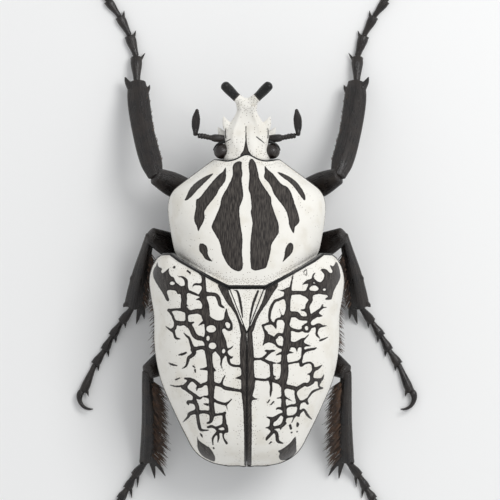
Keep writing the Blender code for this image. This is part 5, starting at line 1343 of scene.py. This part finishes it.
# Points down each leg; teeth as (share down the shin, 1 outwards or -1 inwards, reach, lean,
# half width); the fringe of hair as (count, start, end, shortest, longest, lean)
LEGS = {
    "fore": {
        "coxa": [(3.0, -20.8, 9.0), (5.8, -20.4, 7.6), (8.6, -19.8, 6.6)],
        "coxa_half": (2.2, 2.3, 1.9),
        "knee": (21.4, -26.0, 14.2), "ankle": (25.9, -48.2, 3.4), "bow": 0.8,
        "toes": [(26.1, -54.4, 1.2), (27.7, -59.4, 0.75), (30.1, -63.9, 0.72), (32.9, -67.6, 0.72),
                 (35.5, -73.5, 1.2)],
        "femur_half": [(0.0, 1.8, 1.6), (0.3, 2.6, 1.7), (0.7, 2.8, 1.9), (1.0, 2.0, 1.6)],
        "tibia_half": [(0.0, 1.7, 1.2), (0.15, 2.4, 1.5), (0.5, 2.45, 1.5), (0.85, 2.45, 1.5),
                       (1.0, 1.9, 1.3)],
        "teeth": [(0.95, 1, 2.7, 0.78, 0.95), (0.87, -1, 1.9, 0.6, 0.7), (0.74, -1, 1.0, 0.72, 0.6),
                  (0.2, -1, 1.1, 0.75, 0.6)],
        "toe_spines": (1.7, 1.2, 1.2, 1.1, 1.0), "toe_swell": (1.3, 1.18, 1.05, 1.0, 1.0),
        "fringe": (90, 0.12, 0.9, 0.5, 1.1, 0.6)},
    "mid": {
        "coxa": [(3.0, -4.4, 7.4), (5.8, -4.6, 6.6), (8.8, -5.0, 6.0)],
        "coxa_half": (2.1, 2.2, 1.8),
        "knee": (22.6, -12.1, 14.4), "ankle": (26.7, 4.6, 3.3), "bow": 0.2,
        "toes": [(29.6, 8.4, 1.2), (31.8, 11.7, 0.75), (33.6, 15.0, 0.72), (35.9, 18.4, 0.72),
                 (38.7, 25.1, 1.2)],
        "femur_half": [(0.0, 1.9, 1.5), (0.3, 2.7, 1.7), (0.7, 2.8, 1.8), (1.0, 1.9, 1.5)],
        "tibia_half": [(0.0, 1.1, 1.1), (0.2, 1.3, 1.2), (0.6, 1.9, 1.4), (0.9, 2.1, 1.4),
                       (1.0, 2.05, 1.3)],
        "teeth": [(0.97, 1, 1.0, 0.6, 0.8), (0.58, 1, 1.3, 0.7, 0.7), (0.98, -1, 4.7, 0.97, 0.75),
                  (0.93, -1, 4.2, 0.72, 0.8)],
        "toe_spines": (1.2, 1.3, 1.3, 1.2, 1.2), "toe_swell": (1.0, 1.0, 1.0, 1.0, 1.0),
        "fringe": (190, 0.24, 0.9, 2.1, 3.1, 0.55)},
    "hind": {
        "coxa": [(2.6, 12.0, 7.0), (6.5, 12.2, 6.2), (10.6, 12.5, 6.0)],
        "coxa_half": (2.0, 2.3, 2.0),
        "knee": (23.3, 19.9, 14.6), "ankle": (23.6, 41.0, 3.3), "bow": -0.3,
        "toes": [(26.6, 44.6, 1.2), (28.2, 47.6, 0.75), (29.8, 50.0, 0.72), (31.5, 52.6, 0.72),
                 (33.7, 58.4, 1.2)],
        "femur_half": [(0.0, 1.9, 1.6), (0.3, 2.7, 1.8), (0.7, 2.8, 1.9), (1.0, 1.8, 1.5)],
        "tibia_half": [(0.0, 1.2, 1.1), (0.2, 1.4, 1.3), (0.6, 1.5, 1.4), (0.9, 1.6, 1.4),
                       (1.0, 1.6, 1.3)],
        "teeth": [(0.97, 1, 1.2, 0.8, 0.7), (0.98, -1, 4.8, 0.85, 0.75),
                  (0.94, -1, 6.0, 0.62, 0.75)],
        "toe_spines": (2.6, 2.0, 1.5, 1.3, 1.0), "toe_swell": (1.0, 1.0, 1.0, 1.0, 1.0),
        "fringe": (300, 0.1, 0.92, 3.4, 5.6, 0.55)},
}
HIP_FLATNESS = 0.9
THIGH_RING_HALF = [(0.0, 1.7, 1.5), (0.5, 2.1, 1.75), (1.0, 1.8, 1.5)]
KNEE_KNOB_HALF = [(0.0, 1.7, 1.6), (0.6, 1.75, 1.65), (1.0, 1.4, 1.4)]
THORN_PROFILE = [(0.0, 1.0, 1.0), (0.55, 0.66, 0.6), (0.85, 0.34, 0.3)]
THORN_TIP = [(1.0, 0.1, 0.1)]
ROOT_DEPTH = 0.6
TOOTH_BOW = 0.12
TOE_ROOT = 0.7
TOE_END = 1.06
LAST_TOE_END = 1.05
TOE_ROOT_PROFILE = [(0.0, 0.85, 0.85), (0.25, 1.0, 1.0)]
TOE_END_PROFILE = [(0.75, 1.0, 0.86), (1.0, 0.9, 0.8)]
SPINE_HALF = 0.4
SPINE_DEPTH = 0.45
OUTER_SPINE = 0.45
CLAW_RADIUS = 2.7
CLAW_SWEEP = 2.15
CLAW_SPLAY = 1.0
CLAW_HALF = [(0.0, 0.45, 0.4), (0.15, 0.8, 0.6), (0.5, 0.496, 0.4), (0.85, 0.28, 0.24),
             (1.0, 0.1, 0.1)]
LIMB_GRAIN = 0.15
FOOT_GRAIN = 0.11
CLAW_GRAIN = 0.09


def shin_frame(leg, share):
    """Point on the shin's middle with its way down and its way out from the body."""
    start, end = np.array(leg["knee"]), np.array(leg["ankle"])
    down = unit(end - start)
    out = unit(np.array((1.0, 0.0, 0.0)) - down * down[0])
    bow = out * leg["bow"] * math.sin(math.pi * share)
    return part_way(start, end, share) + bow, down, out


def side_half(leg, shares):
    """Half width of the shin at shares of its length."""
    return curve([(at, side) for at, side, upright in leg["tibia_half"]], shares)


def thorn(root, tip, half, bend):
    """Tapered spine from a root sunk in its bearer to a sharp tip."""
    path = [root, part_way(root, tip, 0.55) + bend, tip]
    return tube(path, sized(THORN_PROFILE, half, half) + THORN_TIP, 18, 14, (0.1, 0.05))


def inward_of(run):
    """Level direction square to a toe, towards the body's middle line."""
    return unit((-abs(run[1]), math.copysign(abs(run[0]), run[1]), 0.0))


for place, leg in LEGS.items():
    hip = np.array(leg["coxa"], float)
    knee, ankle = np.array(leg["knee"]), np.array(leg["ankle"])
    shares = zip((0.0, 0.5, 1.0), leg["coxa_half"])
    halves = [(at, half, half * HIP_FLATNESS) for at, half in shares]
    barrel = tube(hip, halves, 30, 28, (0.3, 0.5), ribs=(5, 0.03))
    limb_pair(place + "_hip", place + "_coxa", [barrel], LIMB_GRAIN, 5, hip)

    top = hip[-1]
    thigh = tube([top, knee], leg["femur_half"], 60, 32, (0.4, 0.6), ribs=(4, 0.04))
    ring = tube([part_way(top, knee, 0.02), part_way(top, knee, 0.2)], THIGH_RING_HALF, 16, 24)
    knob = tube([part_way(top, knee, 0.93), knee], KNEE_KNOB_HALF, 16, 24, (0.4, 0.5))
    limb_pair(place + "_thigh", place + "_femur", [thigh, ring, knob], LIMB_GRAIN, 4, [top, knee])

    shin_path = [shin_frame(leg, share)[0] for share in (0.0, 0.25, 0.5, 0.75, 1.0)]
    solids = [tube(shin_path, leg["tibia_half"], 70, 36, (0.3, 0.2), ribs=(4, 0.07))]
    for share, side, reach, lean, half in leg["teeth"]:
        centre, down, out = shin_frame(leg, share)
        wide = side_half(leg, np.array([share]))[0]
        root = centre + out * side * (wide - ROOT_DEPTH)
        way = unit(out * side * (1.0 - lean) + down * lean)
        solids.append(thorn(root, root + way * (reach + ROOT_DEPTH), half, out * side * TOOTH_BOW))
    limb_pair(place + "_shin", place + "_tibia", solids, LIMB_GRAIN, 3, shin_path)

    toes = [ankle] + [np.array(toe) for toe in leg["toes"]]
    solids = []
    for index, (start, end) in enumerate(zip(toes, toes[1:])):
        narrow = TOE_ROOT * leg["toe_swell"][index]
        widest = TOE_END * leg["toe_swell"][index]
        if index == len(toes) - 2:
            widest = LAST_TOE_END
        halves = sized(TOE_ROOT_PROFILE, narrow, narrow) + sized(TOE_END_PROFILE, widest, widest)
        toe = [part_way(start, end, 0.02), part_way(start, end, 0.95)]
        solids.append(tube(toe, halves, 26, 22, (0.25, 0.12)))
        run = unit(end - start)
        inward = inward_of(run)
        inner_spine = leg["toe_spines"][index]
        for side, share_out, length in ((1.0, 1.0, inner_spine), (-1.0, 0.8, OUTER_SPINE)):
            root = part_way(start, end, 0.84) + inward * side * (widest - SPINE_DEPTH)
            way = unit(inward * side * 0.55 + run * 0.8)
            tip = root + way * (length + SPINE_DEPTH) * share_out
            tip[2] = max(tip[2], 0.35)
            solids.append(thorn(root, tip, SPINE_HALF, 0.0))
    limb_pair(place + "_foot", place + "_tarsus", solids, FOOT_GRAIN, 2, toes)

    start = toes[-1]
    run = unit((start - toes[-2]) * (1.0, 1.0, 0.0))
    inward = inward_of(run)
    hooks = []
    for splay in (1.0, -1.0):
        path = [start - run * 0.9 - inward * 0.1]
        for share in np.linspace(0.0, 1.0, 9):
            point = start + run * (0.25 + CLAW_RADIUS * math.sin(CLAW_SWEEP * share))
            point = point + inward * (CLAW_RADIUS * (1.0 - math.cos(CLAW_SWEEP * share)) - 0.5)
            point[2] = start[2] + splay * CLAW_SPLAY * (0.25 + 0.75 * share)
            path.append(point)
        hooks.append(tube(path, CLAW_HALF, 40, 18, (0.0, 0.08)))
    limb_pair(place + "_hooks", place + "_claws", hooks, CLAW_GRAIN, 2, path)


# Hair: stiff rusty-brown bristles in combs down the inner edges of the shins, in tufts
# out of the flanks and in a brush at the mouth, and as a short coat that lies backwards
# over breast, belly and tail.
HAIR_SIDES = 3
HAIR_RINGS = [(0.0, 1.0), (0.35, 0.85), (0.7, 0.52), (0.92, 0.22)]
BAKE_PATCH = 0.003
HAIR_ROOT_BROWN = (0.022, 0.012, 0.008, 1.0)
HAIR_RUST = (0.115, 0.056, 0.024, 1.0)
SHIN_HAIR = 0.26
FLANK_HAIR = 0.27
COAT_HAIR = 0.2
MOUTH_HAIR = 0.12
FLANK_TUFTS = 420
FLANK_FROM = 0.5
FLANK_TO = 13.5
FLANK_DROP = 4.4
FLANK_DEPTH = 11.4
MOUTH_TUFTS = 150
SIDES = ((1.0, "left"), (-1.0, "right"))

bristle, tree, shader = new_material("rusty_hair")
tone = ramp(tree, noise(tree, millimetres(tree), 0.9, 3.0, 0.65), 0.3, 0.72)
fill(tree, shader, {"Base Color": blend(tree, tone, HAIR_ROOT_BROWN, HAIR_RUST),
                    "Roughness": ramp(tree, tone, 0.0, 1.0, 0.62, 0.45), "Sheen Weight": 0.3})

chance = np.random.default_rng(11)


def tufts(name, roots, ways, lengths, width, droop, places):
    """Pointed three-sided tufts that droop by a share of their length, each with a patch
    to bake on."""
    count = len(roots)
    sag = droop * lengths
    ways = unit(ways)
    side = unit(np.cross(ways, (0.03, 0.05, 1.0)))
    over = np.cross(side, ways)
    rows = []
    for share, size in HAIR_RINGS:
        fall = (0.0, 0.0, 1.0) * (sag * share * share)[:, None]
        centre = roots + ways * (lengths * share)[:, None] - fall
        for k in range(HAIR_SIDES):
            angle = 2.0 * math.pi * (k + 0.25) / HAIR_SIDES
            out = side * math.cos(angle) + over * math.sin(angle)
            rows.append(centre + out * (width * size * 0.5))
    rows.append(roots + ways * lengths[:, None] - (0.0, 0.0, 1.0) * sag[:, None])
    points = np.stack(rows, axis=1)
    points[..., 2] = np.maximum(points[..., 2], 0.05)
    each = points.shape[1]
    last = HAIR_SIDES * (len(HAIR_RINGS) - 1)
    faces = [[0, 2, 1]]
    for k in range(HAIR_SIDES):
        n = (k + 1) % HAIR_SIDES
        for r in range(0, last, HAIR_SIDES):
            faces.append([r + k, r + n, r + n + HAIR_SIDES, r + k + HAIR_SIDES])
        faces.append([last + k, last + n, each - 1])
    bases = range(0, count * each, each)
    every = [[corner + base for corner in face] for base in bases for face in faces]
    coat = new_piece(name, points.reshape(-1, 3), every, bristle)
    ring = np.repeat(np.arange(len(HAIR_RINGS) + 1), [HAIR_SIDES] * len(HAIR_RINGS) + [1])
    around = np.arange(each) % HAIR_SIDES / HAIR_SIDES
    spot = np.stack([around - 0.33, ring / len(HAIR_RINGS) - 0.5], axis=1)
    uv = (places[:, None] * 0.99 + 0.005 + spot[None] * BAKE_PATCH).reshape(-1, 2)
    corner = np.empty(len(coat.data.loops), np.int32)
    coat.data.loops.foreach_get("vertex_index", corner)
    bake = coat.data.uv_layers.new(name="OFBake")
    bake.data.foreach_set("uv", uv[corner].astype(np.float32).ravel())
    settle(coat, "hair")


def scatter(count, spread):
    """Random small directions."""
    return chance.normal(0.0, spread, (count, 3))


for place, leg in LEGS.items():
    count, start, end, shortest, longest, lean = leg["fringe"]
    share = np.sort(chance.uniform(start, end, count))
    centre, down, out = shin_frame(leg, 0.0)
    centre = centre + np.outer(share, np.subtract(leg["ankle"], leg["knee"]))
    centre = centre + np.outer(np.sin(math.pi * share), out * leg["bow"])
    over = np.cross(down, out)
    wide = side_half(leg, share)
    level = chance.uniform(-0.75, 0.75, count)
    roots = centre - np.outer(wide * np.sqrt(1.0 - level ** 2) * 0.9, out) + np.outer(level, over)
    middle = (share - start) / (end - start)
    lengths = shortest + (longest - shortest) * np.sin(math.pi * (0.2 + 0.6 * middle))
    lengths = lengths * chance.uniform(0.7, 1.05, count) + 0.3
    ways = -out * (1.0 - lean) + down * lean + np.outer(level * 0.25, over) + scatter(count, 0.07)
    places = np.stack([share, 0.5 + 0.3 * level], axis=1)
    for side, label in SIDES:
        mirror = (side, 1.0, 1.0)
        tufts(place + "_shin_hair_" + label, roots * mirror, ways * mirror, lengths,
              SHIN_HAIR, 0.12, places)

# Hair of the flanks, under the elytra's edge
count = FLANK_TUFTS
for side, label in SIDES:
    station = chance.uniform(FLANK_FROM, FLANK_TO, count)
    drop = chance.uniform(0.4, FLANK_DROP, count)
    half = curve(ELYTRA_HALF, station) - FLANK_STEP
    height = rim(station) - GAP - drop
    reach = (1.0 - (drop / FLANK_DEPTH) ** BELLY_POWER) ** (1.0 / BELLY_POWER)
    roots = np.stack([side * (half * reach - 0.25), station, height], axis=1)
    ways = np.array((0.62 * side, 0.68, -0.2)) + scatter(count, 0.1)
    lengths = chance.uniform(2.3, 4.6, count) * (1.0 - 0.25 * drop / FLANK_DROP)
    along = (station - FLANK_FROM) / (FLANK_TO - FLANK_FROM)
    places = np.stack([along, drop / FLANK_DROP], axis=1)
    tufts("flank_hair_" + label, roots, ways, lengths, FLANK_HAIR, 0.1, places)


def coat_on(name, grid, count, kept, length, lie, width=COAT_HAIR):
    """Short coat sown over a grid, lying along a direction; kept is the share of hairs
    that stay on the midline, and how much that grows towards the sides."""
    rows, columns = grid.shape[:2]
    u = chance.uniform(0.02, 0.98, count)
    w = chance.uniform(0.02, 0.98, count)
    keep = chance.uniform(0.0, 1.0, count) < kept[0] + kept[1] * fade(np.abs(w - 0.5), 0.16, 0.4)
    u, w = u[keep], w[keep]
    r = (u * (rows - 1)).astype(int)
    c = (w * (columns - 1)).astype(int)
    normal = np.cross(np.gradient(grid, axis=1), np.gradient(grid, axis=0))[r, c]
    normal = normal / (np.linalg.norm(normal, axis=1, keepdims=True) + 1e-9)
    normal = normal * np.where(normal[:, 2:] > 0.0, -1.0, 1.0)
    roots = grid[r, c] - normal * 0.1
    ways = normal * 0.35 + lie + scatter(len(u), 0.12)
    lengths = chance.uniform(0.7, 1.0, len(u)) * length
    tufts(name, roots, ways, lengths, width, 0.05, np.stack([u, w], axis=1))


coat_on("breast_hair", breast_grid, 2600, (0.08, 0.92), 1.7, (0.0, 0.8, -0.1))
coat_on("chest_hair", chest_grid, 3000, (0.08, 0.92), 1.8, (0.0, 0.8, -0.1))
coat_on("belly_hair", belly_grid, 2400, (0.08, 0.92), 1.1, (0.0, 0.9, 0.0), 0.16)
coat_on("tail_hair", tail_grid, 520, (0.9, 0.0), 0.9, (0.0, 0.4, -0.7), 0.13)

# Brush of the mouth, in front of the jaws
count = MOUTH_TUFTS
place = chance.uniform(0.0, 1.0, (count, 2))
roots = np.array((-2.1, -39.9, 18.6)) + place[:, [0, 1, 1]] * (4.2, 0.3, 1.1)
ways = np.array((0.0, -0.75, -0.35)) + scatter(count, 0.2)
lengths = chance.uniform(0.7, 1.3, count)
tufts("mouth_hair", roots, ways, lengths, MOUTH_HAIR, 0.1, place)


# Floor and light: a plain pale sheet under a soft tent, with one large lamp up at the
# head's right, so that the far flanks of the shells fall into a gentle shade.
FLOOR_SIZE = 3000.0
LAMP_PLACE = (-230.0, -210.0, 420.0)
LAMP_SIZE = 260.0
LAMP_POWER = 1.15
PALE_GREY = (0.9, 0.9, 0.89, 1.0)
DAYLIGHT = (0.97, 0.98, 1.0, 1.0)
DAYLIGHT_STRENGTH = 0.68

paper, tree, shader = new_material("pale_floor")
fill(tree, shader, {"Base Color": PALE_GREY, "Roughness": 0.9})
reach = FLOOR_SIZE / 2.0
corners = [(-reach, -reach, 0.0), (reach, -reach, 0.0), (reach, reach, 0.0), (-reach, reach, 0.0)]
floor = new_piece("floor", corners, [(0, 1, 2, 3)], paper)

lamp_data = bpy.data.lights.new("lamp", "AREA")
lamp_data.shape = "DISK"
lamp_data.size = LAMP_SIZE * MM
lamp_data.energy = LAMP_POWER
lamp = bpy.data.objects.new("lamp", lamp_data)
lamp.location = placed(LAMP_PLACE)
aim = placed((0.0, 0.0, 15.0)) - placed(LAMP_PLACE)
lamp.rotation_euler = Vector(aim).to_track_quat("-Z", "Y").to_euler()
bpy.context.scene.collection.objects.link(lamp)

tent = bpy.data.worlds.new("tent")
tent.use_nodes = True
daylight = {"Color": DAYLIGHT, "Strength": DAYLIGHT_STRENGTH}
fill(tent.node_tree, tent.node_tree.nodes["Background"], daylight)
bpy.context.scene.world = tent
bpy.context.scene.view_settings.view_transform = "Standard"
